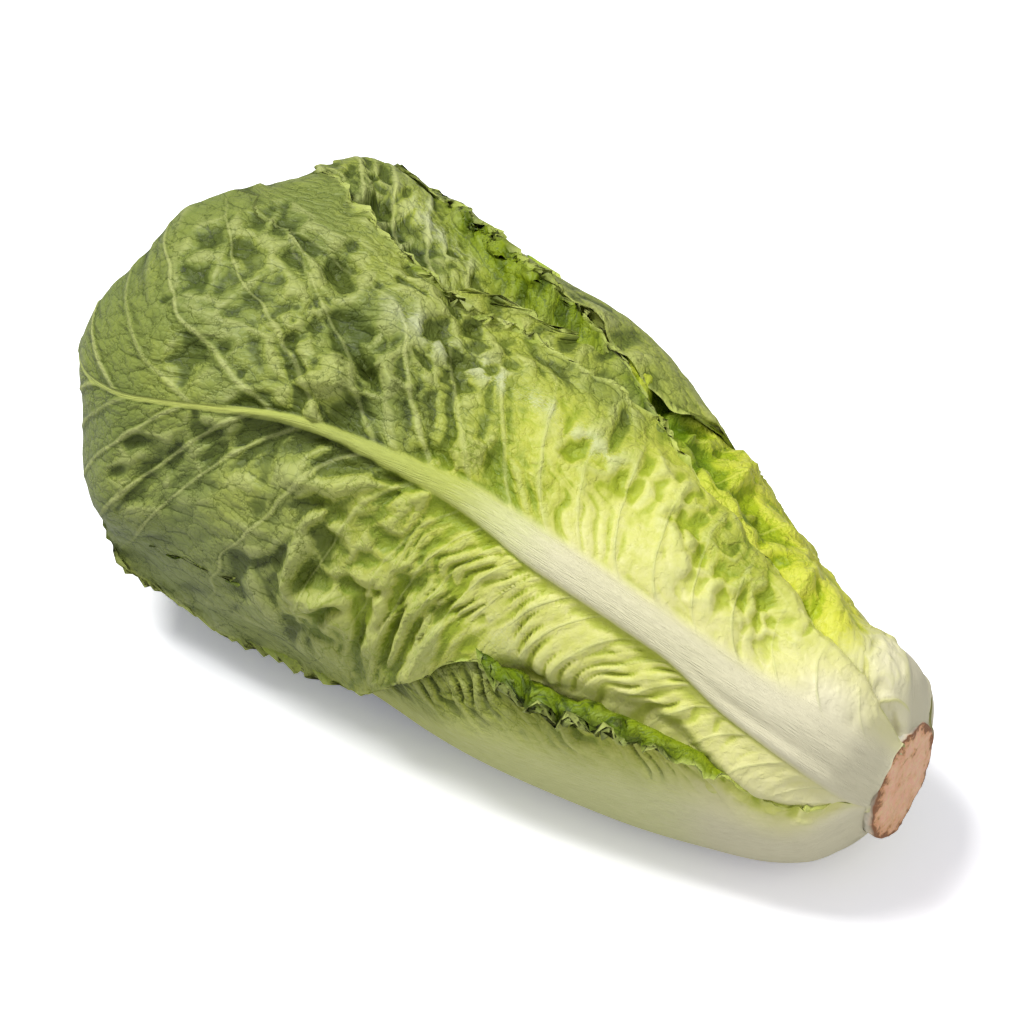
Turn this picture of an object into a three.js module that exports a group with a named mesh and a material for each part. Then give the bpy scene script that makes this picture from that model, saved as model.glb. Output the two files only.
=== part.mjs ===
// A head of romaine lettuce, cut at the stem and lying on its side.
// Millimetres, +Z up, the cut stem toward +X and the leaf tips toward -X.
//
// Every point is set out in head coordinates: `s` runs along the head from
// the cut, `turn` goes round it in degrees (0 is up, 90 is toward -Y) and
// the radius is measured from the head's own axis. The leaves are laid one
// under another from the outside in, each one clear of those over it.
import * as THREE from 'three';

// ---------------------------------------------------------------- sizes
const TILT = 7;              // the axis climbs this much toward the tips
const STEM_HEIGHT = 39.5;     // centre of the cut above the surface
const CUT_SLANT = 0.12;      // the knife went through a little askew
const LAYER_GAP = 2.2;        // room between one leaf and the next
const BASE_GAP = 1;          // the same where the bases crowd round the stem
const STEM_GAP = 0.5;        // room between a leaf base and the stem
const BLADE = 0.9;           // thickness of a leaf away from its rib
const ROW = 4;               // spacing of the layer map along the head
const COLUMN = 5;            // spacing of the layer map round it, degrees
const MAP_START = -8;
const MAP_ROWS = 78;
const MAP_COLUMNS = 360 / COLUMN;
const SPREAD_ROWS = 2;       // how far a leaf keeps its lift past an edge
const SPREAD_COLUMNS = 2;

// [distance from the cut, radius]
const HEAD_PROFILE = [[0, 20], [5, 25], [12, 33], [24, 39], [40, 43], [70, 50],
  [112, 58], [155, 64], [214, 71], [243, 70], [262, 62], [280, 45], [296, 20]];
const STEM_PROFILE = [[0, 17], [3, 18], [10, 17.5], [18, 14.5], [34, 10.5],
  [52, 6.5], [66, 3.5], [70, 2]];

const GREEN = [0x6f8f3c, 0x7f9c48, 0x8dab52, 0x86a24c];
const HEART = [0xb5c76a, 0xc6d27c, 0xd3da90, 0xdde0a4];
const STEM_COLOUR = 0xd2b193;

// Places where the head swells or sinks from its round profile:
// [distance from the cut, turn, height, reach along, reach round]
const SWELLS = [[60, 132, 5, 46, 38], [234, -42, 7, 26, 24], [172, -62, 5, 32, 26],
  [54, -54, -4, 40, 34]];

// The outer leaves. `mid`, `low` and `high` give the turn of the rib and of
// the two free edges at distances from the cut; `rib` is the thickness of
// the rib at the base, `crown` how far the rounded tip falls away to the
// edges and `sink` an extra depth below the leaves above.
const OUTER = [
  { name: 'leaf_front', start: 5, end: 285, rib: 11, crown: 44,
    mid: [[5, 36], [94, 35], [160, 39], [222, 54], [285, 66]],
    low: [[5, 10], [41, -2], [70, -12], [112, -19], [176, -8], [250, -20], [285, -12]],
    high: [[5, 68], [60, 70], [112, 74], [142, 104], [176, 124], [225, 124], [285, 118]] },
  { name: 'leaf_bottom', start: 5, end: 268, rib: 12, crown: 50,
    mid: [[5, 138], [60, 136], [120, 138], [200, 148], [268, 156]],
    low: [[5, 75], [60, 77], [110, 82], [150, 94], [220, 98], [268, 104]],
    high: [[5, 198], [40, 204], [120, 212], [200, 222], [268, 222]] },
  { name: 'leaf_back', start: 5, end: 278, rib: 11, crown: 46,
    mid: [[5, 256], [120, 254], [278, 262]],
    low: [[5, 204], [60, 196], [140, 186], [220, 186], [278, 200]],
    high: [[5, 306], [60, 318], [110, 324], [160, 318], [230, 316], [278, 322]] },
  { name: 'leaf_crinkled', start: 8, end: 234, rib: 10, crown: 52,
    mid: [[8, 338], [60, 320], [234, 300]],
    low: [[8, 312], [40, 290], [120, 262], [234, 250]],
    high: [[8, 364], [40, 348], [80, 342], [120, 338], [234, 330]] },
  { name: 'leaf_top', start: 16, end: 258, rib: 8, crown: 40, sink: 1.2,
    mid: [[16, 26], [120, 10], [258, -12]],
    low: [[16, -2], [60, -12], [120, -32], [200, -50], [258, -56]],
    high: [[16, 54], [60, 60], [140, 66], [258, 40]] },
  { name: 'leaf_side', start: 18, end: 226, rib: 7, crown: 52,
    mid: [[18, 80], [60, 60], [226, 10]],
    low: [[18, 58], [60, 20], [100, -26], [160, -44], [226, -42]],
    high: [[18, 104], [100, 92], [226, 74]] },
  { name: 'leaf_under', start: 17, end: 238, rib: 8, crown: 60, sink: 1.2,
    mid: [[17, 202], [238, 210]],
    low: [[17, 168], [80, 150], [238, 140]],
    high: [[17, 236], [80, 258], [238, 276]] },
];

// The wrapped leaves inside, ring by ring.
const RINGS = [
  { name: 'inner_leaf', count: 5, start: 27, step: 2.5, end: 252, fall: 5, first: 112,
    rib: 5, half: 30, spread: 58, sink: 1.8 },
  { name: 'middle_leaf', count: 5, start: 58, step: 3, end: 240, fall: 5, first: 76,
    rib: 3, half: 34, spread: 64, sink: 2 },
  { name: 'heart_leaf', count: 3, start: 84, step: 5, end: 222, fall: 7, first: 20,
    rib: 2, half: 38, spread: 66, sink: 1.4 },
];
const GOLDEN_TURN = 137.5;

// ------------------------------------------------------------ small maths
const radians = (degrees) => degrees * Math.PI / 180;
const mix = (a, b, t) => a + (b - a) * t;
const clamp = (x, low, high) => Math.min(Math.max(x, low), high);
const smoothstep = (a, b, x) => {
  const t = clamp((x - a) / (b - a), 0, 1);
  return t * t * (3 - 2 * t);
};
const closerAtEnds = (t) => t - 0.07 * Math.sin(2 * Math.PI * t);
const wrap = (degrees) => ((degrees + 180) % 360 + 360) % 360 - 180;

/** A monotone curve through [x, y] points. */
function curve(points) {
  const slope = points.slice(1).map((p, i) => (p[1] - points[i][1]) / (p[0] - points[i][0]));
  const tangent = points.map((p, i) => {
    if (i === 0) return slope[0];
    if (i === points.length - 1) return slope[i - 1];
    const [a, b] = [slope[i - 1], slope[i]];
    return a * b <= 0 ? 0 : 2 * a * b / (a + b);
  });
  return (x) => {
    let i = 0;
    while (i < points.length - 2 && x > points[i + 1][0]) i += 1;
    const width = points[i + 1][0] - points[i][0];
    const t = clamp((x - points[i][0]) / width, 0, 1);
    return (2 * t ** 3 - 3 * t ** 2 + 1) * points[i][1]
      + (t ** 3 - 2 * t ** 2 + t) * width * tangent[i]
      + (3 * t ** 2 - 2 * t ** 3) * points[i + 1][1]
      + (t ** 3 - t ** 2) * width * tangent[i + 1];
  };
}

const headRadius = curve(HEAD_PROFILE);
const stemRadius = curve(STEM_PROFILE);

/** Radial room a gap needs where the head's side leans in toward an end. */
const lean = (s) => Math.hypot(1, (headRadius(s + 4) - headRadius(s - 4)) / 8);

/** Head coordinates to millimetres in the part's frame. */
function place(s, turn, radius) {
  const [tilt, angle] = [radians(TILT), radians(turn)];
  const up = radius * Math.cos(angle);
  return [
    -s * Math.cos(tilt) + up * Math.sin(tilt),
    -radius * Math.sin(angle),
    STEM_HEIGHT + s * Math.sin(tilt) + up * Math.cos(tilt),
  ];
}

/** How far the head stands out of its round profile at a place. */
const swelling = (s, turn) => SWELLS.reduce((sum, [along, round, height, reach, width]) => (
  sum + height * Math.exp(-(((s - along) / reach) ** 2) - ((wrap(turn - round) / width) ** 2))
), 0);

/** Outside radius of the head, pressed flat where it lies on the surface. */
function envelope(s, turn) {
  const drop = -Math.cos(radians(turn)) * Math.cos(radians(TILT));
  const height = STEM_HEIGHT + s * Math.sin(radians(TILT));
  const radius = headRadius(s) + swelling(s, turn);
  return drop > 0.05 ? Math.min(radius, height / drop) : radius;
}

// ------------------------------------------------------------ layer map
/** Depth below the envelope already taken, on a grid of rows and columns. */
class LayerMap {
  constructor() {
    this.depth = Array.from({ length: MAP_ROWS }, () => new Float64Array(MAP_COLUMNS));
  }

  /** Depth of the next leaf's outer face: over the taken depth everywhere. */
  nextFace(sink) {
    const spread = this.filter(this.depth, (values) => Math.max(...values));
    const even = this.filter(spread, (values) => values.reduce((a, b) => a + b) / values.length);
    return even.map((row, i) => {
      const s = MAP_START + i * ROW;
      const gap = mix(BASE_GAP, LAYER_GAP * lean(s), smoothstep(15, 80, s));
      return row.map((depth) => depth + (depth > 0 ? gap : 0) + sink);
    });
  }

  filter(grid, combine) {
    return grid.map((row, i) => row.map((_, j) => {
      const values = [];
      for (let a = -SPREAD_ROWS; a <= SPREAD_ROWS; a += 1) {
        for (let b = -SPREAD_COLUMNS; b <= SPREAD_COLUMNS; b += 1) {
          const source = grid[clamp(i + a, 0, MAP_ROWS - 1)];
          values.push(source[(j + b + MAP_COLUMNS) % MAP_COLUMNS]);
        }
      }
      return combine(values);
    }));
  }

  /** Marks the leaf's own thickness as taken. */
  take(leaf, face) {
    for (let i = 0; i < MAP_ROWS; i += 1) {
      const s = MAP_START + i * ROW;
      for (let j = 0; j < MAP_COLUMNS; j += 1) {
        const across = leaf.across(s, j * COLUMN);
        if (!leaf.covers(s, across)) continue;
        const below = face[i][j] + leaf.thickness(s, across);
        this.depth[i][j] = Math.max(this.depth[i][j], below);
      }
    }
  }

  /** Value of a grid between its rows and columns. */
  static sample(grid, s, turn) {
    const y = clamp((s - MAP_START) / ROW, 0, MAP_ROWS - 1.001);
    const x = ((turn / COLUMN) % MAP_COLUMNS + MAP_COLUMNS) % MAP_COLUMNS;
    const [i, j] = [Math.floor(y), Math.floor(x) % MAP_COLUMNS];
    const next = (j + 1) % MAP_COLUMNS;
    const upper = mix(grid[i][j], grid[i][next], x - Math.floor(x));
    const lower = mix(grid[i + 1][j], grid[i + 1][next], x - Math.floor(x));
    return mix(upper, lower, y - i);
  }
}

// ---------------------------------------------------------------- leaves
class Leaf {
  constructor(form) {
    Object.assign(this, { sink: 0, rows: 20, columns: 12 }, form);
    this.midTurn = curve(form.mid);
    this.lowTurn = curve(form.low);
    this.highTurn = curve(form.high);
  }

  /** Turn at a place across the leaf, -1 to 1 with the rib at 0. */
  turn(s, across) {
    const mid = this.midTurn(s);
    const edge = across < 0 ? this.lowTurn(s) : this.highTurn(s);
    return mid + Math.abs(across) * wrap(edge - mid);
  }

  /** Place across the leaf of a turn; past 1 either way it is off it. */
  across(s, turn) {
    const mid = this.midTurn(s);
    const away = wrap(turn - mid);
    const edge = away < 0 ? this.lowTurn(s) : this.highTurn(s);
    return away / Math.abs(wrap(edge - mid));
  }

  /** End of the leaf at a place across it: a rounded crown. */
  top(across) {
    return this.end - this.crown * (1 - Math.sqrt(1 - Math.min(across ** 2, 1)));
  }

  covers(s, across) {
    return Math.abs(across) <= 1.02 && s >= this.start - 1 && s <= this.top(across) + 1;
  }

  thickness(s, across) {
    const along = clamp((s - this.start) / (this.end - this.start), 0, 1);
    const rib = this.rib * (1 - smoothstep(0, 0.9, along)) + 1.6;
    const width = mix(0.75, 0.12, smoothstep(0, 0.5, along));
    return BLADE + Math.max(rib - BLADE, 0) * Math.exp(-((across / width) ** 2));
  }

  /** A closed shell between the leaf's outer and inner faces. */
  geometry(face) {
    const outer = [];
    const inner = [];
    for (let i = 0; i <= this.rows; i += 1) {
      for (let j = 0; j <= this.columns; j += 1) {
        const across = 2 * j / this.columns - 1;
        const s = mix(this.start, this.top(across), closerAtEnds(i / this.rows));
        const turn = this.turn(s, across);
        const radius = envelope(s, turn) - LayerMap.sample(face, s, turn);
        const room = radius - stemRadius(s) - STEM_GAP;
        const thick = Math.min(this.thickness(s, across), room);
        this.tightest = Math.min(this.tightest ?? Infinity, room);
        outer.push(place(s, turn, radius));
        inner.push(place(s, turn, radius - thick));
      }
    }
    return shell(outer, inner, this.rows, this.columns);
  }
}

/** Two matching grids of points, joined round their rim into one body. */
function shell(outer, inner, rows, columns) {
  const count = outer.length;
  const at = (i, j) => i * (columns + 1) + j;
  const faces = [];
  const quad = (a, b, c, d) => faces.push(a, b, c, a, c, d);
  for (let i = 0; i < rows; i += 1) {
    for (let j = 0; j < columns; j += 1) {
      const [a, b, c, d] = [at(i, j), at(i, j + 1), at(i + 1, j + 1), at(i + 1, j)];
      quad(a, d, c, b);
      quad(a + count, b + count, c + count, d + count);
    }
  }
  const rim = [];
  for (let j = 0; j < columns; j += 1) rim.push(at(0, j));
  for (let i = 0; i < rows; i += 1) rim.push(at(i, columns));
  for (let j = columns; j > 0; j -= 1) rim.push(at(rows, j));
  for (let i = rows; i > 0; i -= 1) rim.push(at(i, 0));
  rim.forEach((a, i) => {
    const b = rim[(i + 1) % rim.length];
    quad(a, b, b + count, a + count);
  });
  return body([...outer, ...inner], faces);
}

function body(points, faces) {
  const geometry = new THREE.BufferGeometry();
  geometry.setAttribute('position', new THREE.Float32BufferAttribute(points.flat(), 3));
  geometry.setIndex(faces);
  geometry.computeVertexNormals();
  return geometry;
}

/** Forms of the leaves of one inner ring, each turned on from the last. */
function ringForms(ring) {
  return Array.from({ length: ring.count }, (_, i) => {
    const start = ring.start + i * ring.step;
    const end = ring.end - i * ring.fall;
    const mid = wrap(ring.first + i * GOLDEN_TURN);
    const wide = mix(start, end, 0.45);
    return {
      name: `${ring.name}_${i + 1}`, start, end, rib: ring.rib, crown: 44,
      sink: i === 0 ? ring.sink : 0.5, rows: 12, columns: 8,
      mid: [[start, mid], [end, mid]],
      low: [[start, mid - ring.half], [wide, mid - ring.spread], [end, mid - ring.spread * 0.9]],
      high: [[start, mid + ring.half], [wide, mid + ring.spread], [end, mid + ring.spread * 0.9]],
    };
  });
}

// ------------------------------------------------------------------ stem
/** The cut stem: a tapering core with a slightly slanted, uneven face. */
function stemGeometry() {
  const sides = 20;
  const rows = 9;
  const length = STEM_PROFILE.at(-1)[0];
  const points = [];
  const faces = [];
  for (let i = 0; i <= rows; i += 1) {
    const along = (i / rows) ** 1.4;
    for (let j = 0; j < sides; j += 1) {
      const turn = 360 * j / sides;
      const slant = CUT_SLANT * (1 - along) ** 6;
      const uneven = 1 + 0.03 * Math.cos(radians(2 * turn + 40)) * (1 - along);
      const radius = Math.min(stemRadius(along * length) * uneven, stemRadius(along * length));
      const s = along * length + slant * radius * Math.cos(radians(turn - 40));
      points.push(place(s, turn, radius));
    }
  }
  const ring = (i, j) => i * sides + (j % sides);
  for (let i = 0; i < rows; i += 1) {
    for (let j = 0; j < sides; j += 1) {
      const [a, b, c, d] = [ring(i, j), ring(i, j + 1), ring(i + 1, j + 1), ring(i + 1, j)];
      faces.push(a, d, c, a, c, b);
    }
  }
  points.push(place(0, 0, 0), place(length, 0, 0));
  const [cut, tip] = [points.length - 2, points.length - 1];
  for (let j = 0; j < sides; j += 1) {
    faces.push(cut, ring(0, j), ring(0, j + 1));
    faces.push(tip, ring(rows, j + 1), ring(rows, j));
  }
  return body(points, faces);
}

// -------------------------------------------------------------- assembly
function piece(name, geometry, colour, roughness) {
  const material = new THREE.MeshStandardMaterial({ color: colour, roughness, metalness: 0 });
  const mesh = new THREE.Mesh(geometry, material);
  mesh.name = name;
  return mesh;
}

const head = new THREE.Group();
head.name = 'romaine_lettuce_head';
head.add(piece('stem', stemGeometry(), STEM_COLOUR, 0.6));

const layers = new LayerMap();
const leaves = [...OUTER, ...RINGS.flatMap(ringForms)].map((form) => new Leaf(form));
leaves.forEach((leaf, i) => {
  const face = layers.nextFace(leaf.sink);
  const palette = i < OUTER.length ? GREEN : HEART;
  head.add(piece(leaf.name, leaf.geometry(face), palette[i % palette.length], 0.55));
  layers.take(leaf, face);
});

// The frame's origin: under the middle of the head, on the surface.
const box = new THREE.Box3().setFromObject(head);
const centre = box.getCenter(new THREE.Vector3());
head.children.forEach((mesh) => mesh.geometry.translate(-centre.x, -centre.y, -box.min.z));

export default head;
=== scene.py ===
"""A head of romaine lettuce, built leaf by leaf round its cut stem.

Every leaf is laid out in head coordinates: ``s`` runs along the head from
the cut in millimetres, ``turn`` goes round it in degrees (0 is up, 90 is
toward -Y) and the radius is measured from the head's own axis.
"""

from __future__ import annotations

import logging
import math
from dataclasses import dataclass, field
from enum import Enum
from typing import Any, Sequence

import bpy
import numpy as np
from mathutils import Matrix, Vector

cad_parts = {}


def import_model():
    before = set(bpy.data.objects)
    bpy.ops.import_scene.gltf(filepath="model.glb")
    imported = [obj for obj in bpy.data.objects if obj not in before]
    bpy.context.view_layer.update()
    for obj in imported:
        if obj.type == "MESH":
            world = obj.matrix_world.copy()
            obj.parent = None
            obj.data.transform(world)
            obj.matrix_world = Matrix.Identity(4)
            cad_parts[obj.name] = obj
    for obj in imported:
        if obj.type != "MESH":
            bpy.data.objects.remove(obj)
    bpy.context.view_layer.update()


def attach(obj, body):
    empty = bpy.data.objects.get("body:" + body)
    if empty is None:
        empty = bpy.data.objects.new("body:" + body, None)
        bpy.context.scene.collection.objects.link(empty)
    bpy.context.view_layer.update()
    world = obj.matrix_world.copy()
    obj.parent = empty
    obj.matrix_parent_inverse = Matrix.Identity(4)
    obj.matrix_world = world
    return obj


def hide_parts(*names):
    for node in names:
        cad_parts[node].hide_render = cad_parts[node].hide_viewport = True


LOG = logging.getLogger("romaine")
MM = 0.001
SKIN = 0.6  # gap between the core and a leaf's face
INNERMOST = 12  # leaves keep clear of the core up to this radius
LOWEST = 0.05  # height of the lowest points over the surface
GOLDEN = 137.5  # degrees from one leaf to the next in a ring
CAVITY = (2.5, 7)  # distances over which a place is weighed against its surroundings
BLADE = 0.55  # thickness of a leaf beside its rib
CELL = 9.0  # length of a pocket, out from the rib
FLARE = 0.14  # share of a half leaf that turns up at the margin
VEINING = ((0, 1), (0.5, 1), (0.85, 0.2), (1, 0.1))  # strength of the side veins, across
Array = np.ndarray
Points = Sequence[tuple[float, float]]
Colour = tuple[float, float, float]
Stops = tuple[tuple[float, Colour], ...]
Given = dict[Any, Any] | None
ZERO: Points = ((0, 0), (1, 0))


# --------------------------------------------------------------- small maths
class Curve:
    """A monotone curve through a few points."""

    def __init__(self, points: Points) -> None:
        """Works out the slope at each point.

        Args:
            points: (x, y) pairs with x rising.
        """
        self.x = np.array([p[0] for p in points], float)
        self.y = np.array([p[1] for p in points], float)
        slope = np.diff(self.y) / np.diff(self.x)
        self.m = np.concatenate([slope[:1], np.zeros(len(slope) - 1), slope[-1:]])
        product = slope[:-1] * slope[1:]
        total = slope[:-1] + slope[1:]
        same = product > 0
        self.m[1:-1][same] = 2 * product[same] / total[same]

    def __call__(self, x: Array | float) -> Array:
        """Height of the curve at x, level beyond both ends.

        Args:
            x: Where to read the curve.

        Returns:
            The height at each x.
        """
        x = np.asarray(x, float)
        i = np.clip(np.searchsorted(self.x, x) - 1, 0, len(self.x) - 2)
        width = self.x[i + 1] - self.x[i]
        t = np.clip((x - self.x[i]) / width, 0, 1)
        return (
            (2 * t**3 - 3 * t**2 + 1) * self.y[i]
            + (t**3 - 2 * t**2 + t) * width * self.m[i]
            + (3 * t**2 - 2 * t**3) * self.y[i + 1]
            + (t**3 - t**2) * width * self.m[i + 1]
        )


def smoothstep(a: float, b: float, x: Array | float) -> Array:
    """0 below a, 1 above b and smooth between them."""
    t = np.clip((np.asarray(x, float) - a) / (b - a), 0, 1)
    return t * t * (3 - 2 * t)


def bump(x: Array, centre: float, width: Array | float) -> Array:
    """A rounded hump of height 1 at its centre."""
    return np.exp(-(((x - centre) / width) ** 2))


def wrap(degrees: Array | float) -> Array:
    """The same turn between -180 and 180 degrees."""
    return (np.asarray(degrees, float) + 180) % 360 - 180


def ripple(x: Array, y: Array, length: float, seed: int) -> Array:
    """Smooth noise of about one wavelength, mostly within -1 to 1.

    Args:
        x, y: Places in millimetres.
        length: Typical wavelength in millimetres.
        seed: Picks the pattern.

    Returns:
        One value for each place.
    """
    rng, waves = np.random.default_rng(seed), 14
    total = np.zeros(np.broadcast(x, y).shape)
    for _ in range(waves):
        angle, phase = rng.uniform(0, 2 * math.pi, 2)
        k = 2 * math.pi / (length * rng.uniform(0.75, 1.5))
        total += np.cos(k * (x * math.cos(angle) + y * math.sin(angle)) + phase)
    return total * math.sqrt(2 / waves) * 0.6


def smooth(grid: Array, reach: int) -> Array:
    """Mean of a grid over the square within a number of steps of each place.

    Args:
        grid: Values on a grid.
        reach: Steps either way.

    Returns:
        A grid of the same shape.
    """
    side = 2 * reach + 1
    for axis in (0, 1):
        pad = [(0, 0), (0, 0)]
        pad[axis] = (reach + 1, reach)
        total = np.cumsum(np.pad(grid, pad, mode="edge"), axis=axis)
        near = np.arange(grid.shape[axis])
        grid = (np.take(total, near + side, axis) - np.take(total, near, axis)) / side
    return grid


def lowest(grid: Array, reach: int) -> Array:
    """Lowest value of a grid within a number of steps of each place.

    Args:
        grid: Values on a grid.
        reach: Steps either way.

    Returns:
        A grid of the same shape.
    """
    rows, columns = grid.shape
    padded = np.pad(grid, reach, mode="edge")
    steps = range(2 * reach + 1)
    low = np.min([padded[step : step + rows] for step in steps], axis=0)
    return np.min([low[:, step : step + columns] for step in steps], axis=0)


def scatter(i: Array, j: Array, seed: int) -> Array:
    """A fixed random number from 0 to 1 for each pair of whole numbers."""
    mixed = np.sin(i * 127.1 + j * 311.7 + seed * 74.7) * 43758.5453
    return mixed - np.floor(mixed)


def put(name: str, data: Any) -> bpy.types.Object:
    """A new object in the scene.

    Args:
        name: The object's name.
        data: Its mesh, lamp or camera.

    Returns:
        The object.
    """
    obj = bpy.data.objects.new(name, data)
    bpy.context.scene.collection.objects.link(obj)
    return obj


def store(mesh: bpy.types.Mesh, name: str, values: Array) -> None:
    """Keeps four values for each point of a mesh."""
    attribute = mesh.attributes.new(name, "FLOAT_COLOR", "POINT")
    attribute.data.foreach_set("color", values.astype(np.float32).ravel())


def facets(x: Array, y: Array, size: float, seed: int) -> Array:
    """Heights from -0.5 to 0.5 at scattered points, joined by flat triangles.

    Args:
        x, y: Places in millimetres.
        size: Side of a triangle.
        seed: Picks the heights.

    Returns:
        A height for each place.
    """
    up = y / size / math.cos(math.pi / 6)
    right = x / size - up / 2
    column, row = np.floor(right), np.floor(up)
    right, up = right - column, up - row
    far = right + up > 1
    total = np.abs(right + up - 1) * scatter(column + far, row + far, seed)
    total = total + np.where(far, 1 - up, right) * scatter(column + 1, row, seed)
    return total + np.where(far, 1 - right, up) * scatter(column, row + 1, seed) - 0.5


@dataclass
class Cells:
    """An uneven net of cells: distance from the net and each cell's own number."""

    edge: Array
    number: Array

    @classmethod
    def lay(cls, x: Array, y: Array, seed: int, looseness: float = 0.8) -> Cells:
        """Finds the nearest cells of a unit grid with shifted middles.

        Args:
            x, y: Places in cell widths.
            seed: Picks the net.
            looseness: How far the middles stray, 0 for a square net.

        Returns:
            The net at each place.
        """
        ix, iy = np.floor(x), np.floor(y)
        best = np.full(x.shape, 9.0)
        second = np.full(x.shape, 9.0)
        number = np.zeros(x.shape)
        for dx in (-1, 0, 1):
            for dy in (-1, 0, 1):
                cx, cy = ix + dx, iy + dy
                px = cx + 0.5 + looseness * (scatter(cx, cy, seed) - 0.5)
                py = cy + 0.5 + looseness * (scatter(cx, cy, seed + 17) - 0.5)
                away = np.hypot(px - x, py - y)
                nearer = away < best
                second = np.where(nearer, best, np.minimum(second, away))
                number = np.where(nearer, scatter(cx, cy, seed + 5), number)
                best = np.where(nearer, away, best)
        return cls(edge=second - best, number=number)


# ------------------------------------------------------------------ the form
@dataclass(frozen=True)
class Swell:
    """A place where the head stands out of its round profile or sinks below it."""

    along: float
    turn: float
    height: float
    reach: float
    width: float


@dataclass(frozen=True)
class HeadForm:
    """The whole head's outside shape, in millimetres."""

    tilt: float = 7.0
    axis_start: tuple[float, float, float] = (139.84, -0.13, 39.5)
    profile: Points = (
        (0, 18), (3, 21), (6, 26), (12, 33), (24, 39), (40, 43), (70, 50), (112, 58),
        (155, 64), (214, 71), (243, 70), (262, 62), (280, 45), (296, 20),
    )
    core: Points = (
        (0, 17.2), (3, 17.2), (10, 16.2), (18, 14.0), (34, 10.5), (52, 6.5), (70, 2),
    )
    swells: tuple[Swell, ...] = (
        Swell(60, 132, 5, 46, 38),
        Swell(234, -42, 7, 26, 24),
        Swell(150, -54, 11, 44, 21),
        Swell(54, -54, -4, 40, 34),
        Swell(112, 112, 4, 36, 20),
        Swell(257, -22, -3.5, 12, 9),
        Swell(282, 64, 4, 16, 26),
        Swell(280, 10, 3.5, 15, 18),
        Swell(32, -54, -6, 20, 34),
        Swell(256, 112, 3, 22, 26),
    )

    def envelope(self, s: Array, turn: Array) -> Array:
        """Outside radius, pressed flat where the head lies on the surface.

        Args:
            s, turn: Places along the head and round it.

        Returns:
            The radius at each place.
        """
        radius = Curve(self.profile)(s)
        for swell in self.swells:
            round_off = bump(wrap(turn - swell.turn), 0, swell.width)
            radius = radius + swell.height * bump(s, swell.along, swell.reach) * round_off
        tilt = math.radians(self.tilt)
        drop = -np.cos(np.radians(turn)) * math.cos(tilt)
        height = self.axis_start[2] + s * math.sin(tilt)
        floor = height / np.maximum(drop, 0.05)
        return np.where(drop > 0.05, np.minimum(radius, floor), radius)

    def place(self, s: Array, turn: Array, radius: Array) -> Array:
        """Head coordinates to millimetres in the frame, as (..., 3).

        Args:
            s, turn: Places along the head and round it.
            radius: Distance from the head's axis.

        Returns:
            x, y and z of each place.
        """
        tilt, angle = math.radians(self.tilt), np.radians(turn)
        up = radius * np.cos(angle)
        x, y, z = self.axis_start
        return np.stack(
            [
                x - s * math.cos(tilt) + up * math.sin(tilt),
                y - radius * np.sin(angle),
                z + s * math.sin(tilt) + up * math.cos(tilt),
            ],
            axis=-1,
        )


class LayerMap:
    """Depth below the envelope already taken by the leaves laid so far."""

    ROW = 2.5
    COLUMN = 3.0
    START = -10.0
    ROWS = 128
    COLUMNS = 120

    def __init__(self) -> None:
        """Starts with nothing taken."""
        self.s = self.START + self.ROW * np.arange(self.ROWS)[:, None]
        self.turn = self.COLUMN * np.arange(self.COLUMNS)[None, :]
        self.depth = np.zeros((self.ROWS, self.COLUMNS))

    def shifts(self, grid: Array, reach: int) -> Array:
        """The grid moved every way within reach, stacked.

        Args:
            grid: Values on the map's grid.
            reach: Steps either way.

        Returns:
            The moved grids, one after another.
        """
        padded = np.pad(grid, ((reach, reach), (0, 0)), mode="edge")
        return np.stack(
            [
                np.roll(padded[a : a + self.ROWS], b, axis=1)
                for a in range(2 * reach + 1)
                for b in range(-reach, reach + 1)
            ]
        )

    def next_face(self, gap: float, reach: int) -> Array:
        """Depth of the next leaf's outer face, clear of everything laid so far.

        Args:
            gap: Room left below the leaves above, in millimetres.
            reach: How far the lift is carried past an edge, in grid steps.

        Returns:
            The depth on the grid.
        """
        even = self.shifts(self.shifts(self.depth, reach).max(axis=0), reach).mean(axis=0)
        return even + gap * smoothstep(0, 0.5, even)

    def take(self, covered: Array, below: Array) -> None:
        """Marks what a leaf fills: where it is and how deep its inner face lies."""
        self.depth = np.where(covered, np.maximum(self.depth, below), self.depth)

    def dent(self, s: Array, turn: Array, below: Array) -> None:
        """Marks single places that reach deeper than their leaf's plain face.

        Args:
            s, turn: Places along the head and round it.
            below: Depth reached at each.
        """
        row = np.clip(np.round((s - self.START) / self.ROW), 0, self.ROWS - 1).astype(int)
        column = np.round(turn / self.COLUMN).astype(int) % self.COLUMNS
        np.maximum.at(self.depth, (row, column), below)

    def sample(self, grid: Array, s: Array, turn: Array) -> Array:
        """Value of a grid between its rows and columns.

        Args:
            grid: Values on the map's grid.
            s, turn: Places along the head and round it.

        Returns:
            The value at each place.
        """
        y = np.clip((s - self.START) / self.ROW, 0, self.ROWS - 1.001)
        x = (turn / self.COLUMN) % self.COLUMNS
        i, j = y.astype(int), x.astype(int) % self.COLUMNS
        k = (j + 1) % self.COLUMNS
        fx, fy = x - np.floor(x), y - i
        upper = grid[i, j] * (1 - fx) + grid[i, k] * fx
        lower = grid[i + 1, j] * (1 - fx) + grid[i + 1, k] * fx
        return upper * (1 - fy) + lower * fy


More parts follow.
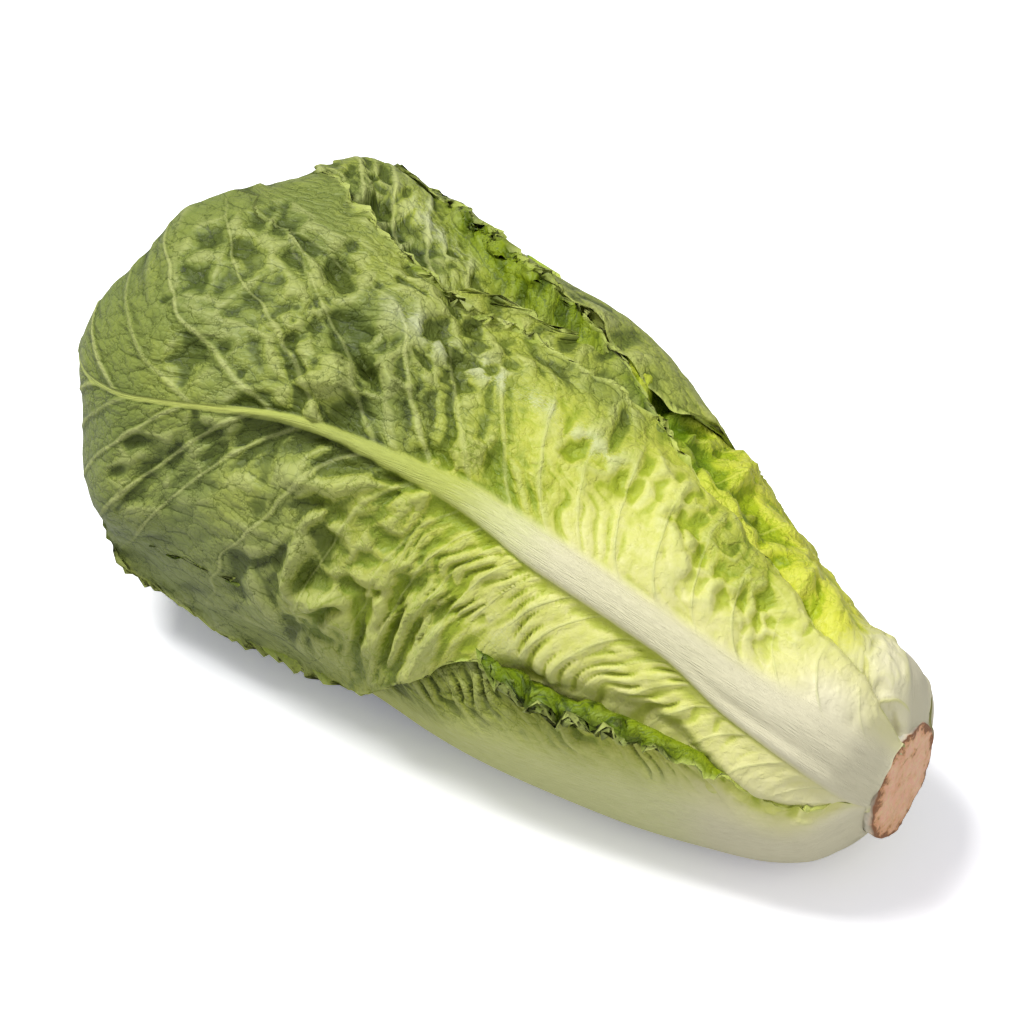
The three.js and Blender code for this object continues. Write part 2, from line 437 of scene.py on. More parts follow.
# ------------------------------------------------------------------- leaves
@dataclass(frozen=True)
class SideVeins:
    """The side veins on one half of a leaf, set out from its rib.

    A vein that leaves the rib at ``c`` reaches ``s = c + rise(d)`` at a
    distance ``d`` out from it.
    """

    starts: tuple[float, ...]
    lean: Points
    hug: Points = ((0, 8), (1, 8))
    bend: float = 8.0
    sweep: Points = ZERO
    sweep_from: float = 36.0

    def rise(self, start: Array, out: Array) -> Array:
        """How far a vein has climbed toward the tip, out from the rib.

        Args:
            start: Where the vein leaves the rib.
            out: Distance out from the rib.

        Returns:
            Millimetres along the head.
        """
        late = np.maximum(out - self.sweep_from, 0)
        return (
            Curve(self.hug)(start) * (1 - np.exp(-out / self.bend))
            + Curve(self.lean)(start) * out
            + Curve(self.sweep)(start) * late**2
        )

    def start_of(self, s: Array, out: Array) -> Array:
        """Where the vein through a place leaves the rib.

        Args:
            s, out: Places along the head and out from the rib.

        Returns:
            The start of each place's vein.
        """
        low, high = s - 160.0, s + 20.0
        for _ in range(22):
            middle = (low + high) / 2
            below = middle + self.rise(middle, out) < s
            low, high = np.where(below, middle, low), np.where(below, high, middle)
        return (low + high) / 2

    def index(self, s: Array, out: Array) -> Array:
        """The vein's running number: whole on a vein, part way between two.

        Args:
            s, out: Places along the head and out from the rib.

        Returns:
            The number at each place.
        """
        start = self.start_of(s, out)
        first, last = np.diff(self.starts)[[0, -1]]
        inside = np.interp(start, self.starts, np.arange(len(self.starts)))
        before = np.minimum(start - self.starts[0], 0) / first
        return inside + before + np.maximum(start - self.starts[-1], 0) / last


def even_veins(start: float, end: float, step: float, seed: int) -> tuple[float, ...]:
    """Side vein starts at about one step, each a little off its place.

    Args:
        start, end: Where the first and the last may leave the rib.
        step: Millimetres between two.
        seed: Picks how each strays.

    Returns:
        The starts, in order.
    """
    rng = np.random.default_rng(seed)
    places = np.arange(start, end, step)
    return tuple(places + rng.uniform(-0.22, 0.22, len(places)) * step)


@dataclass(frozen=True)
class Spot:
    """A patch of a leaf where something is stronger, across from -1 to 1."""

    along: float
    across: float
    strength: float
    reach: float
    width: float


@dataclass(frozen=True)
class Dips:
    """Dents of one depth and size in millimetres, each at its place along and across."""

    depth: float
    size: float
    places: tuple[tuple[float, float], ...]


def spotted(spots: Sequence[Spot], s: Array, across: Array) -> Array:
    """Sum of a set of patches at each place on a leaf.

    Args:
        spots: The patches.
        s, across: Places along and across the leaf.

    Returns:
        The sum at each place.
    """
    total = np.zeros(np.broadcast(s, across).shape)
    for spot in spots:
        near = bump(s, spot.along, spot.reach) * bump(across, spot.across, spot.width)
        total = total + spot.strength * near
    return total


@dataclass(frozen=True)
class Relief:
    """How a leaf's face stands up and sinks, in millimetres."""

    vein_height: float = 0.45
    vein_width: float = 0.9
    dips: tuple[Dips, ...] = ()
    pockets: tuple[Spot, ...] = ()
    pocket_base: float = 0.5
    pleats: tuple[Spot, ...] = ()
    pleat_base: float = 0.1
    pleat_count: float = 3
    crumples: tuple[Spot, ...] = ()
    crumple_base: float = 0.3
    billow: float = 0.9
    ruffle: float = 1.0
    ruffle_length: float = 16.0
    jag: float = 0.6


@dataclass(frozen=True)
class LeafForm:
    """One leaf in head coordinates: ``mid``, ``low`` and ``high`` are the turns of
    its rib and its two edges along the head, and most other fields vary along it too.
    """

    name: str
    slot: str
    start: float
    end: float
    crown: float
    mid: Points
    low: Points
    high: Points
    rows: int
    columns: int
    coarse: int = 4
    rib: float = 6.0
    rib_width: Points = ((5, 20), (60, 12), (127, 6), (155, 3.6), (182, 2.0), (250, 0.9))
    rib_height: Points = ((5, 0.5), (60, 2.2), (127, 2.4), (182, 1.2), (250, 0.5))
    rib_side: Points = ZERO
    rib_lean: float = 0.0
    rib_green: Points = ((5, 0.0), (100, 0.02), (150, 0.25), (285, 0.4))
    gap: float = 1.0
    lift_reach: int = 3
    heel: float = 0.0
    curl_low: Points = ZERO
    curl_width: Points = ((0, 12), (1, 12))
    curl_bend: float = 2.4
    curl_wave: float = 0.14
    veins_low: SideVeins | None = None
    veins_high: SideVeins | None = None
    relief: Relief = field(default_factory=Relief)
    flare_low: Points = ZERO
    flare_high: Points = ZERO
    flare_wave: float = 0.45
    lift: Points = ((0, 1), (1, 1))
    inset: Points = ZERO
    tuck: Points = ZERO
    tuck_turn: Points = ((0, 400), (1, 400))
    green: Points = ((5, 0.02), (60, 0.12), (110, 0.35), (160, 0.62), (220, 0.85), (285, 0.9))
    tint: tuple[Spot, ...] = ()
    # Spots where sheen is painted on the raised places.
    sheen_spots: tuple[Spot, ...] = ()
    haze: tuple[Spot, ...] = ()
    lush: tuple[Spot, ...] = ()
    seed: int = 1


class Face(Enum):
    """The two faces of a leaf."""

    OUTER = 0.0
    INNER = 1.0


class Leaf:
    """A leaf: a thin closed shell with a rib, veins, pockets and an uneven edge."""

    def __init__(self, form: LeafForm, head: HeadForm) -> None:
        """Keeps the form and draws its outline curves.

        Args:
            form: The leaf's own sizes.
            head: The head it belongs to.
        """
        self.form = form
        self.head = head
        self.mid = Curve(form.mid)
        self.low = Curve(form.low)
        self.high = Curve(form.high)
        starts = even_veins(form.start - 20, form.end + 40, 15, form.seed)
        side = SideVeins(starts, lean=((0, 0.3), (120, 0.6), (200, 1.1)))
        self.veins_low = form.veins_low or side
        self.veins_high = form.veins_high or side

    def edge(self, s: Array, across: Array) -> Array:
        """Degrees from the rib to the edge on the side of each place."""
        mid = self.mid(s)
        return np.where(across < 0, wrap(mid - self.low(s)), wrap(self.high(s) - mid))

    def top(self, across: Array) -> Array:
        """End of the leaf at a place across it: a rounded crown.

        Args:
            across: Places across the leaf, -1 to 1.

        Returns:
            Where the leaf ends at each.
        """
        form = self.form
        round_off = 1 - np.sqrt(1 - np.minimum(across**2, 1))
        notch = form.relief.jag * ripple(across * 90, across * 0, 9, form.seed + 3)
        return form.end - form.crown * round_off + notch

    def across_of(self, s: Array, turn: Array) -> Array:
        """Place across the leaf of a turn; past 1 either way it is off it."""
        away = wrap(turn - self.mid(s))
        return away / np.maximum(self.edge(s, away), 1.0)

    def thickness(self, s: Array, across: Array) -> Array:
        """Thickness from the blade to the rib, in millimetres.

        Args:
            s, across: Places along and across the leaf.

        Returns:
            The thickness at each place.
        """
        form = self.form
        along = np.clip((s - form.start) / (form.end - form.start), 0, 1)
        rib = form.rib * (1 - smoothstep(0, 0.9, along)) + 0.8
        width = 0.7 - 0.58 * smoothstep(0, 0.5, along)
        edge = 1 - 0.6 * smoothstep(0.9, 1, np.abs(across))
        thick = BLADE * edge + np.maximum(rib - BLADE, 0) * bump(across, 0, width)
        if not form.heel:
            return thick
        return np.minimum(thick, 1.5 + 0.45 * np.maximum(s - form.start, 0))

    def take(self, layers: LayerMap, face: Array) -> None:
        """Marks the leaf's own room on the layer map.

        Args:
            layers: The map of the room already taken.
            face: Depth of the leaf's outer face on the map's grid.
        """
        s, turn = layers.s, layers.turn
        across = self.across_of(s, turn)
        on = (np.abs(across) < 1.02) & (s > self.form.start - 1)
        on &= s < self.top(np.clip(across, -1, 1)) + 1
        on &= turn < Curve(self.form.tuck_turn)(s) - 1
        layers.take(on, face + self.thickness(s, across))

    def curled(self, s: Array, across: Array, turn: Array, radius: Array,
               reach: Array) -> tuple[Array, Array]:
        """Turn and radius of each place once the low margin is rolled outward.

        Args:
            s, across: Places along and across the leaf.
            turn, radius: Where each lies while the leaf is flat.
            reach: Millimetres from the rib to the edge.

        Returns:
            The new turns and the new radii.
        """
        form = self.form
        curl = np.where(across < 0, Curve(form.curl_low)(s), 0)
        wave = ripple(s, across * 0, form.relief.ruffle_length, form.seed + 13)
        wavy = 1 + form.curl_wave * wave
        angle = np.radians(np.maximum(curl * wavy, 0.1))
        bend = form.curl_bend * (1.3 - 0.3 * wavy)
        over = np.maximum((np.abs(across) - 1) * reach + Curve(form.curl_width)(s), 0)
        flap = np.maximum(over - bend * angle, 0)
        theta = np.minimum(over / bend, angle)
        outward = bend * np.sin(theta) + flap * np.cos(angle)
        up = bend * (1 - np.cos(theta)) + flap * np.sin(angle)
        slip = np.degrees((over - outward) / Curve(self.head.profile)(s))
        return turn - np.sign(across) * slip, radius + up

    def heeled(self, s: Array, radius: Array) -> Array:
        """Radius of each place once the leaf's foot is rounded in to the stem.

        Args:
            s: Places along the head.
            radius: Radius of each until now.

        Returns:
            The new radii.
        """
        if not self.form.heel:
            return radius
        away = 1 - np.clip((s - self.form.start) / self.form.heel, 0, 1)
        core = Curve(self.head.core)(s) + SKIN
        return core + (radius - core) * np.sqrt(1 - away**2)

    def build(self, layers: LayerMap) -> bpy.types.Object:
        """Makes the leaf's mesh below the leaves laid so far and takes its room.

        Args:
            layers: The map of the room already taken.

        Returns:
            The leaf's object.
        """
        form = self.form
        face = layers.next_face(form.gap, form.lift_reach)
        across = np.linspace(-1, 1, form.columns + 1)[None, :]
        rise = np.linspace(0, 1, form.rows + 1)[:, None]
        rise = rise - 0.05 * np.sin(2 * math.pi * rise)
        s = form.start + (self.top(across) - form.start) * rise
        wander = ripple(s, across * 40, 11, form.seed + 7)
        wander = form.relief.jag * (wander + 0.5 * ripple(s, across * 40, 3.5, form.seed + 8))
        near_edge = smoothstep(0.8, 1, np.abs(across))
        span = self.edge(s, across)
        reach = np.radians(span) * Curve(self.head.profile)(s)
        turn = self.mid(s) + across * span + np.sign(across) * near_edge * wander
        depth = layers.sample(face, s, turn) * Curve(form.lift)(s)
        under = smoothstep(-5, 3, turn - Curve(form.tuck_turn)(s)) * Curve(form.tuck)(s)
        radius = self.head.envelope(s, turn) - depth - under - Curve(form.inset)(s)
        radius = np.maximum(radius, np.minimum(Curve(self.head.core)(s), INNERMOST) + SKIN)
        flare = np.where(across < 0, Curve(form.flare_low)(s), Curve(form.flare_high)(s))
        open_out = np.clip((np.abs(across) - 1 + FLARE) / FLARE, 0, 1)
        wavy = ripple(s, across * 0, form.relief.ruffle_length, form.seed + 11)
        radius = radius + open_out**1.6 * flare * (1 + form.flare_wave * wavy)
        turn, radius = self.curled(s, across, turn, radius, reach)
        radius = self.heeled(s, radius)
        covered = layers.sample((layers.depth > 0.1).astype(float), s, turn)
        sheet = Sheet(self, s, across, turn, reach, radius, covered)
        self.take(layers, face)
        inside = self.head.envelope(s, turn) - radius - sheet.relief + self.thickness(s, across)
        layers.dent(s, turn, np.where(open_out > 0.3, 0, inside))
        return sheet.piece()


class Sheet:
    """The grid of one leaf: its places, its relief and the marks its finish reads."""

    def __init__(self, leaf: Leaf, s: Array, across: Array, turn: Array, reach: Array,
                 radius: Array, covered: Array) -> None:
        """Works out the leaf's surface.

        Args:
            leaf: The leaf that the grid belongs to.
            s, across, turn: Places of the grid.
            reach: Millimetres from the rib to the edge.
            radius: Radius of the plain surface.
            covered: 1 where another leaf lies over this one, 0 where none does.
        """
        self.leaf, self.form = leaf, leaf.form
        self.s, self.across, self.reach = s, across + s * 0, reach
        self.out = across * reach
        self.covered = covered
        self.plain = leaf.head.place(s, turn, radius)
        self.normal = self.normals(self.plain)
        self.veins()
        self.relief = self.heights()

    @staticmethod
    def normals(points: Array) -> Array:
        """Outward unit normals of a grid of points.

        Args:
            points: The grid, as (rows, columns, 3).

        Returns:
            A normal for each point.
        """
        along = np.gradient(points, axis=0)
        over = np.gradient(points, axis=1)
        normal = np.cross(along, over)
        length = np.linalg.norm(normal, axis=-1, keepdims=True)
        return normal / np.maximum(length, 1e-9)

    def veins(self) -> None:
        """Numbers the side veins and measures how far each place is from one."""
        away = np.abs(self.out)
        low = self.leaf.veins_low.index(self.s, away)
        high = self.leaf.veins_high.index(self.s, away) + 40
        stray = 0.07 * ripple(self.s, self.out, 36, self.form.seed + 1)
        stray = stray + 0.02 * ripple(self.s, self.out, 12, self.form.seed + 2)
        self.index = np.where(self.across < 0, low, high) + stray * smoothstep(0, 15, away)
        step_s = np.linalg.norm(np.gradient(self.plain, axis=0), axis=-1)
        step_t = np.linalg.norm(np.gradient(self.plain, axis=1), axis=-1)
        slope = []
        for number in (low, high):
            ds = np.gradient(number, axis=0) / np.maximum(step_s, 1e-6)
            dt = np.gradient(number, axis=1) / np.maximum(step_t, 1e-6)
            slope.append(np.hypot(ds, dt))
        self.rate = np.clip(np.where(self.across < 0, *slope), 0.02, 0.5)
        self.vein_away = np.abs(self.index - np.round(self.index)) / self.rate
        self.far = smoothstep(4, 12, away)

    def pockets(self) -> Array:
        """Depth of the pockets between the veins, two sizes of them.

        Returns:
            Millimetres below the plain face.
        """
        relief, seed = self.form.relief, self.form.seed
        s, out, away = self.s, self.out, np.abs(self.out)
        number = self.index + 0.22 * ripple(s, out, 26, seed + 19)
        along = away / CELL + 0.35 * ripple(s, out, 20, seed + 20)
        large = Cells.lay(2 * number, along, seed, 0.75)
        small = Cells.lay(4.7 * number, 2.3 * along, seed + 2, 0.8)
        depth = relief.pocket_base + spotted(relief.pockets, s, self.across)
        big = smoothstep(0.08, 0.6, large.edge) * smoothstep(0.35, 0.75, large.number)
        little = smoothstep(0.05, 0.6, small.edge) * small.number
        clear = smoothstep(0.6, 2.4, self.vein_away)
        return depth * (1.2 * big + 0.25 * little) * clear * self.far

    def dips(self) -> Array:
        """Depth of the dents that have a place of their own, steepest toward the tip.

        Returns:
            Millimetres below the plain face.
        """
        total = np.zeros(self.s.shape)
        seed = self.form.seed
        sway = 1 + 0.25 * ripple(self.s, self.out, 11, seed + 27)
        for dips in self.form.relief.dips:
            for along, across in dips.places:
                ds, dt = self.s - along, self.out - across * self.reach
                ds = np.where(ds > 0, ds, 0.6 * ds)
                away, first = 0 * ds, 7 * along
                for angle in first + np.arange(5) * 2 * math.pi / 5:
                    away = np.maximum(away, ds * math.cos(angle) + 0.8 * dt * math.sin(angle))
                low = np.clip(1.25 - away * sway / dips.size, 0, 1)
                total = np.maximum(total, dips.depth * low * (1 + 0.05 * ds))
        return total

    def folds(self) -> Array:
        """Height of the crowded pleats along the veins and the crumples across them.

        Returns:
            Millimetres above the plain face.
        """
        relief, seed = self.form.relief, self.form.seed
        s, out = self.s, self.out
        x = s + 5 * ripple(s, out, 33, seed + 24)
        y = out + 5 * ripple(s, out, 29, seed + 25)
        pleat = relief.pleat_base + spotted(relief.pleats, s, self.across)
        pleat = pleat * smoothstep(18, 46, s)
        phase = relief.pleat_count * self.index + 0.75 * ripple(x * 0.5, y * 0.8, 19, seed + 21)
        tall = 0.35 + 1.0 * scatter(np.round(phase), np.sign(out), seed)
        lobes = np.clip(0.55 + 0.8 * ripple(x, y, 21, seed + 22), 0.05, 1.7)
        total = pleat * tall * lobes * (np.abs(np.cos(math.pi * phase)) ** 0.8 - 0.6)
        crumple = relief.crumple_base + spotted(relief.crumples, s, self.across)
        calm = 0.35 + 1.1 * smoothstep(-0.5, 0.7, ripple(s, out, 46, seed + 26))
        for size, share in ((10, 1.9), (5, 1.0)):
            facet = facets(13 * self.index + 0.3 * x, 0.7 * y, size, seed + size)
            total = total + crumple * calm * share * facet
        return total

    def ribbed(self) -> Array:
        """Height of the rib, with its steep side and the groove below it.

        Returns:
            Millimetres above the plain face.
        """
        form, s, out = self.form, self.s, self.out
        lean = (out - Curve(form.rib_side)(s)) / np.maximum(Curve(form.rib_width)(s), 0.5)
        above, below = np.maximum(-lean, 0), np.maximum(lean, 0)
        crisp = form.rib_lean
        self.rib = 1 - smoothstep(0.6, 1.45, above)
        self.rib = self.rib - smoothstep(0.8, 1.45 - 0.35 * crisp, below)
        self.blade = smoothstep(0.8, 1.4, np.abs(lean))
        crest = 1 - smoothstep(0.1, 1.35, above)
        edge = np.sqrt(1 - np.minimum(below, 1) ** (2 + crisp)) if crisp else np.exp(-below**2)
        groove = 0.4 * bump(lean, 0.45, 0.22) * smoothstep(78, 30, s)
        groove = (0.25 * bump(lean, 1.5, 0.4) + groove) * crisp
        stripes = 0.35 * ripple(s * 0.12, out, 6, form.seed + 33) * smoothstep(110, 30, s)
        return Curve(form.rib_height)(s) * (crest * edge - groove) + stripes * self.rib * crisp

    def heights(self) -> Array:
        """Height of the relief at each place, in millimetres.

        Returns:
            Millimetres above the plain face, the rib and all.
        """
        form, relief = self.form, self.form.relief
        s, out, across = self.s, self.out, self.across
        rib = self.ribbed()
        strong = 0.55 + 0.45 * scatter(np.round(self.index), s * 0, form.seed)
        self.vein = Curve(VEINING)(np.abs(across)) * strong
        broad = 1 + 0.7 * np.exp(-np.abs(out) / 22) * smoothstep(90, 150, s)
        vein = relief.vein_height * broad * bump(self.vein_away, 0, relief.vein_width * broad)
        billow = relief.billow * ripple(s * 0.8, out * 1.2, 42, form.seed + 29)
        edge = smoothstep(0.72, 1, np.abs(across))
        ruffle = ripple(s, out * 0.6, relief.ruffle_length, form.seed + 31)
        ruffle = relief.ruffle * edge * ruffle
        pocket = np.maximum(self.pockets(), self.dips())
        ground = smoothstep(0.0, 6.0, self.plain[..., 2])
        detail = vein * self.vein - pocket + self.folds()
        total = (rib + (detail + billow + ruffle) * self.blade) * ground
        total = total - self.covered * np.maximum(total - 0.2, 0)
        step = form.rows / (form.end - form.start)
        fine, wide = (smooth(total, round(reach * step)) for reach in CAVITY)
        self.cavity = np.clip(0.5 + 0.6 * (total - fine) + 0.26 * (total - wide), 0, 1)
        return total

    def faces(self) -> tuple[Array, Array]:
        """Points of the outer and the inner face, in millimetres.

        Returns:
            The outer points and the inner points.
        """
        outer = self.plain + self.normal * self.relief[..., None]
        thick = self.leaf.thickness(self.s, self.across)
        low = lowest(np.minimum(self.relief, 1.5), self.form.coarse)
        inner = self.plain + self.normal * (low - thick)[..., None]
        for points in (outer, inner):
            points[..., 2] = np.maximum(points[..., 2], LOWEST)
        return outer, inner

    def tone(self, face: Face) -> Array:
        """Green, vein, haze and face of each place, each from 0 to 1.

        Args:
            face: The face that they are for.

        Returns:
            Four values for each place.
        """
        form, s, across = self.form, self.s, self.across
        green = Curve(form.green)(s) + 0.05 * ripple(s, self.out, 30, form.seed + 41)
        green = green + spotted(form.tint, s, across)
        beside = np.maximum(Curve(form.rib_side)(s) - self.out - Curve(form.rib_width)(s), 0)
        pale = 0.55 * form.rib_lean * np.exp(-beside / 7) * smoothstep(150, 90, s)
        green = green * (1 - pale)
        haze = np.clip(spotted(form.haze, s, across), 0, 1)
        lush = np.clip(face.value + spotted(form.lush, s, across), 0, 1)
        return np.stack([np.clip(green, 0, 1), self.vein, haze, lush], axis=-1)

    def marks(self) -> dict[str, tuple[Array, Array]]:
        """The marks of the outer and the inner face, by name.

        Returns:
            tone: green, vein, haze and face. marks: rib, where sheen is painted,
                margin and how far the place stands out of its surroundings. lay: vein
                number, signed distance out, millimetres per vein number and the rib's
                green. run: the place along the head, four times over.
        """
        sheen_spots = np.clip(spotted(self.form.sheen_spots, self.s, self.across), 0, 1)
        margin = smoothstep(0.975, 1, np.abs(self.across))
        stalk = Curve(self.form.rib_green)(self.s)
        shared = {
            "marks": (self.rib, sheen_spots, margin, self.cavity),
            "lay": (self.index, self.out, 1 / self.rate, stalk),
            "run": (self.s,) * 4,
        }
        tone = {"tone": tuple(self.tone(face) for face in Face)}
        return tone | {name: (np.stack(four, axis=-1),) * 2 for name, four in shared.items()}

    def corners(self) -> tuple[Array, Array, Array]:
        """Point numbers of the outer face's squares, the inner face's and the rim's faces.

        Returns:
            The three sets, one row for each face.
        """
        k = self.form.coarse
        fine = np.arange(self.s.size).reshape(self.s.shape)
        rows, columns = self.s[::k, ::k].shape
        rough = np.arange(rows * columns).reshape(rows, columns) + self.s.size
        fine_rim, rough_rim = self.rim(fine), self.rim(rough)
        starts = np.arange(len(rough_rim)) * k
        strip = fine_rim[(starts[:, None] + np.arange(k, -1, -1)) % len(fine_rim)]
        rim = [strip, rough_rim[:, None], np.roll(rough_rim, -1)[:, None]]
        return self.quads(fine)[:, ::-1], self.quads(rough), np.concatenate(rim, axis=1)

    def piece(self) -> bpy.types.Object:
        """Joins the fine outer face and the coarser inner face round the rim.

        Returns:
            The leaf's object.
        """
        k = self.form.coarse
        loops = self.corners()
        corners = np.concatenate([loop.ravel() for loop in loops])
        starts = np.cumsum([0] + [loop.shape[1] for loop in loops for _ in loop])[:-1]
        mesh = bpy.data.meshes.new(self.form.name)
        points = self.joined(self.faces()) * MM
        mesh.vertices.add(len(points))
        mesh.vertices.foreach_set("co", points.astype(np.float32).ravel())
        mesh.loops.add(len(corners))
        mesh.loops.foreach_set("vertex_index", corners.astype(np.int32))
        mesh.polygons.add(len(starts))
        mesh.polygons.foreach_set("loop_start", starts.astype(np.int32))
        mesh.polygons.foreach_set("use_smooth", np.ones(len(starts), bool))
        mesh.update(calc_edges=True)
        for name, faces in self.marks().items():
            store(mesh, name, self.joined(faces))
        self.unwrap(mesh, corners, loops[2].size)
        return put(self.form.name + "_piece", mesh)

    def joined(self, faces: tuple[Array, Array]) -> Array:
        """One row for each point: every place of the outer face, then the coarse inner ones.

        Args:
            faces: Values of the outer and of the inner face.

        Returns:
            The rows, in the order of the mesh's points.
        """
        k = self.form.coarse
        outer, inner = faces
        size = outer.shape[-1]
        return np.concatenate([outer.reshape(-1, size), inner[::k, ::k].reshape(-1, size)])

    @staticmethod
    def quads(at: Array) -> Array:
        """Corner numbers of every square of a grid of points."""
        square = [at[:-1, :-1], at[:-1, 1:], at[1:, 1:], at[1:, :-1]]
        return np.stack(square, axis=-1).reshape(-1, 4)

    @staticmethod
    def rim(at: Array) -> Array:
        """Numbers of the points round a grid, once round."""
        return np.concatenate([at[0, :-1], at[:-1, -1], at[-1, :0:-1], at[:0:-1, 0]])

    def unwrap(self, mesh: bpy.types.Mesh, corners: Array, rim: int) -> None:
        """Lays the outer face and the rim on the left, the inner face on the right.

        Args:
            mesh: The leaf's mesh.
            corners: Its corners' point numbers.
            rim: How many of the last corners belong to the rim.
        """
        k = self.form.coarse
        rows, columns = self.s.shape
        grid = np.meshgrid(np.linspace(0, 1, columns), np.linspace(0, 1, rows))
        grid = np.stack(grid, axis=-1)
        left = (grid * [0.66, 0.96] + [0.01, 0.02]).reshape(-1, 2)
        right = (grid[::k, ::k] * [0.28, 0.96] + [0.70, 0.02]).reshape(-1, 2)
        place = np.concatenate([left, right])[corners]
        edge = place[-rim:].reshape(-1, k + 3, 2)
        edge[:, k + 1], edge[:, k + 2] = edge[:, k], edge[:, 0]
        layer = mesh.uv_layers.new(name="OFBake")
        layer.data.foreach_set("uv", place.astype(np.float32).ravel())


# ----------------------------------------------------------------- node maths
class Value:
    """A number socket that adds Math nodes when it is used in an expression."""

    def __init__(self, tree: Tree, socket: Any) -> None:
        """Keeps the tree and the socket."""
        self.tree, self.socket = tree, socket

    def math(self, operation: str, *values: Any, clamp: bool = False) -> Value:
        """A Math node on this socket and others.

        Args:
            operation: What the node does.
            values: Its further inputs.
            clamp: Whether the result is held between 0 and 1.

        Returns:
            The result.
        """
        settings = {"operation": operation, "use_clamp": clamp}
        inputs = dict(enumerate([self, *values]))
        return Value(self.tree, self.tree.add("ShaderNodeMath", settings, inputs).outputs[0])

    def __add__(self, other: Any) -> Value:
        """Sum."""
        return self.math("ADD", other)

    __radd__ = __add__

    def __mul__(self, other: Any) -> Value:
        """Product."""
        return self.math("MULTIPLY", other)

    __rmul__ = __mul__

    def __sub__(self, other: Any) -> Value:
        """Difference."""
        return self.math("SUBTRACT", other)

    def __rsub__(self, other: Any) -> Value:
        """Difference the other way round."""
        return (self * -1.0) + other

    def __truediv__(self, other: Any) -> Value:
        """Quotient."""
        return self.math("DIVIDE", other)

    def clamped(self) -> Value:
        """The value held between 0 and 1."""
        return self.math("ADD", 0.0, clamp=True)

    def steps(self, low: float, high: float) -> Value:
        """0 below low, 1 above high, smooth between; low may be the larger.

        Args:
            low, high: Where the step begins and ends.

        Returns:
            The step.
        """
        settings = {"interpolation_type": "SMOOTHSTEP"}
        flip = low > high
        inputs = {"Value": self, "From Min": min(low, high), "From Max": max(low, high)}
        out = Value(self.tree, self.tree.add("ShaderNodeMapRange", settings, inputs).outputs[0])
        return 1.0 - out if flip else out


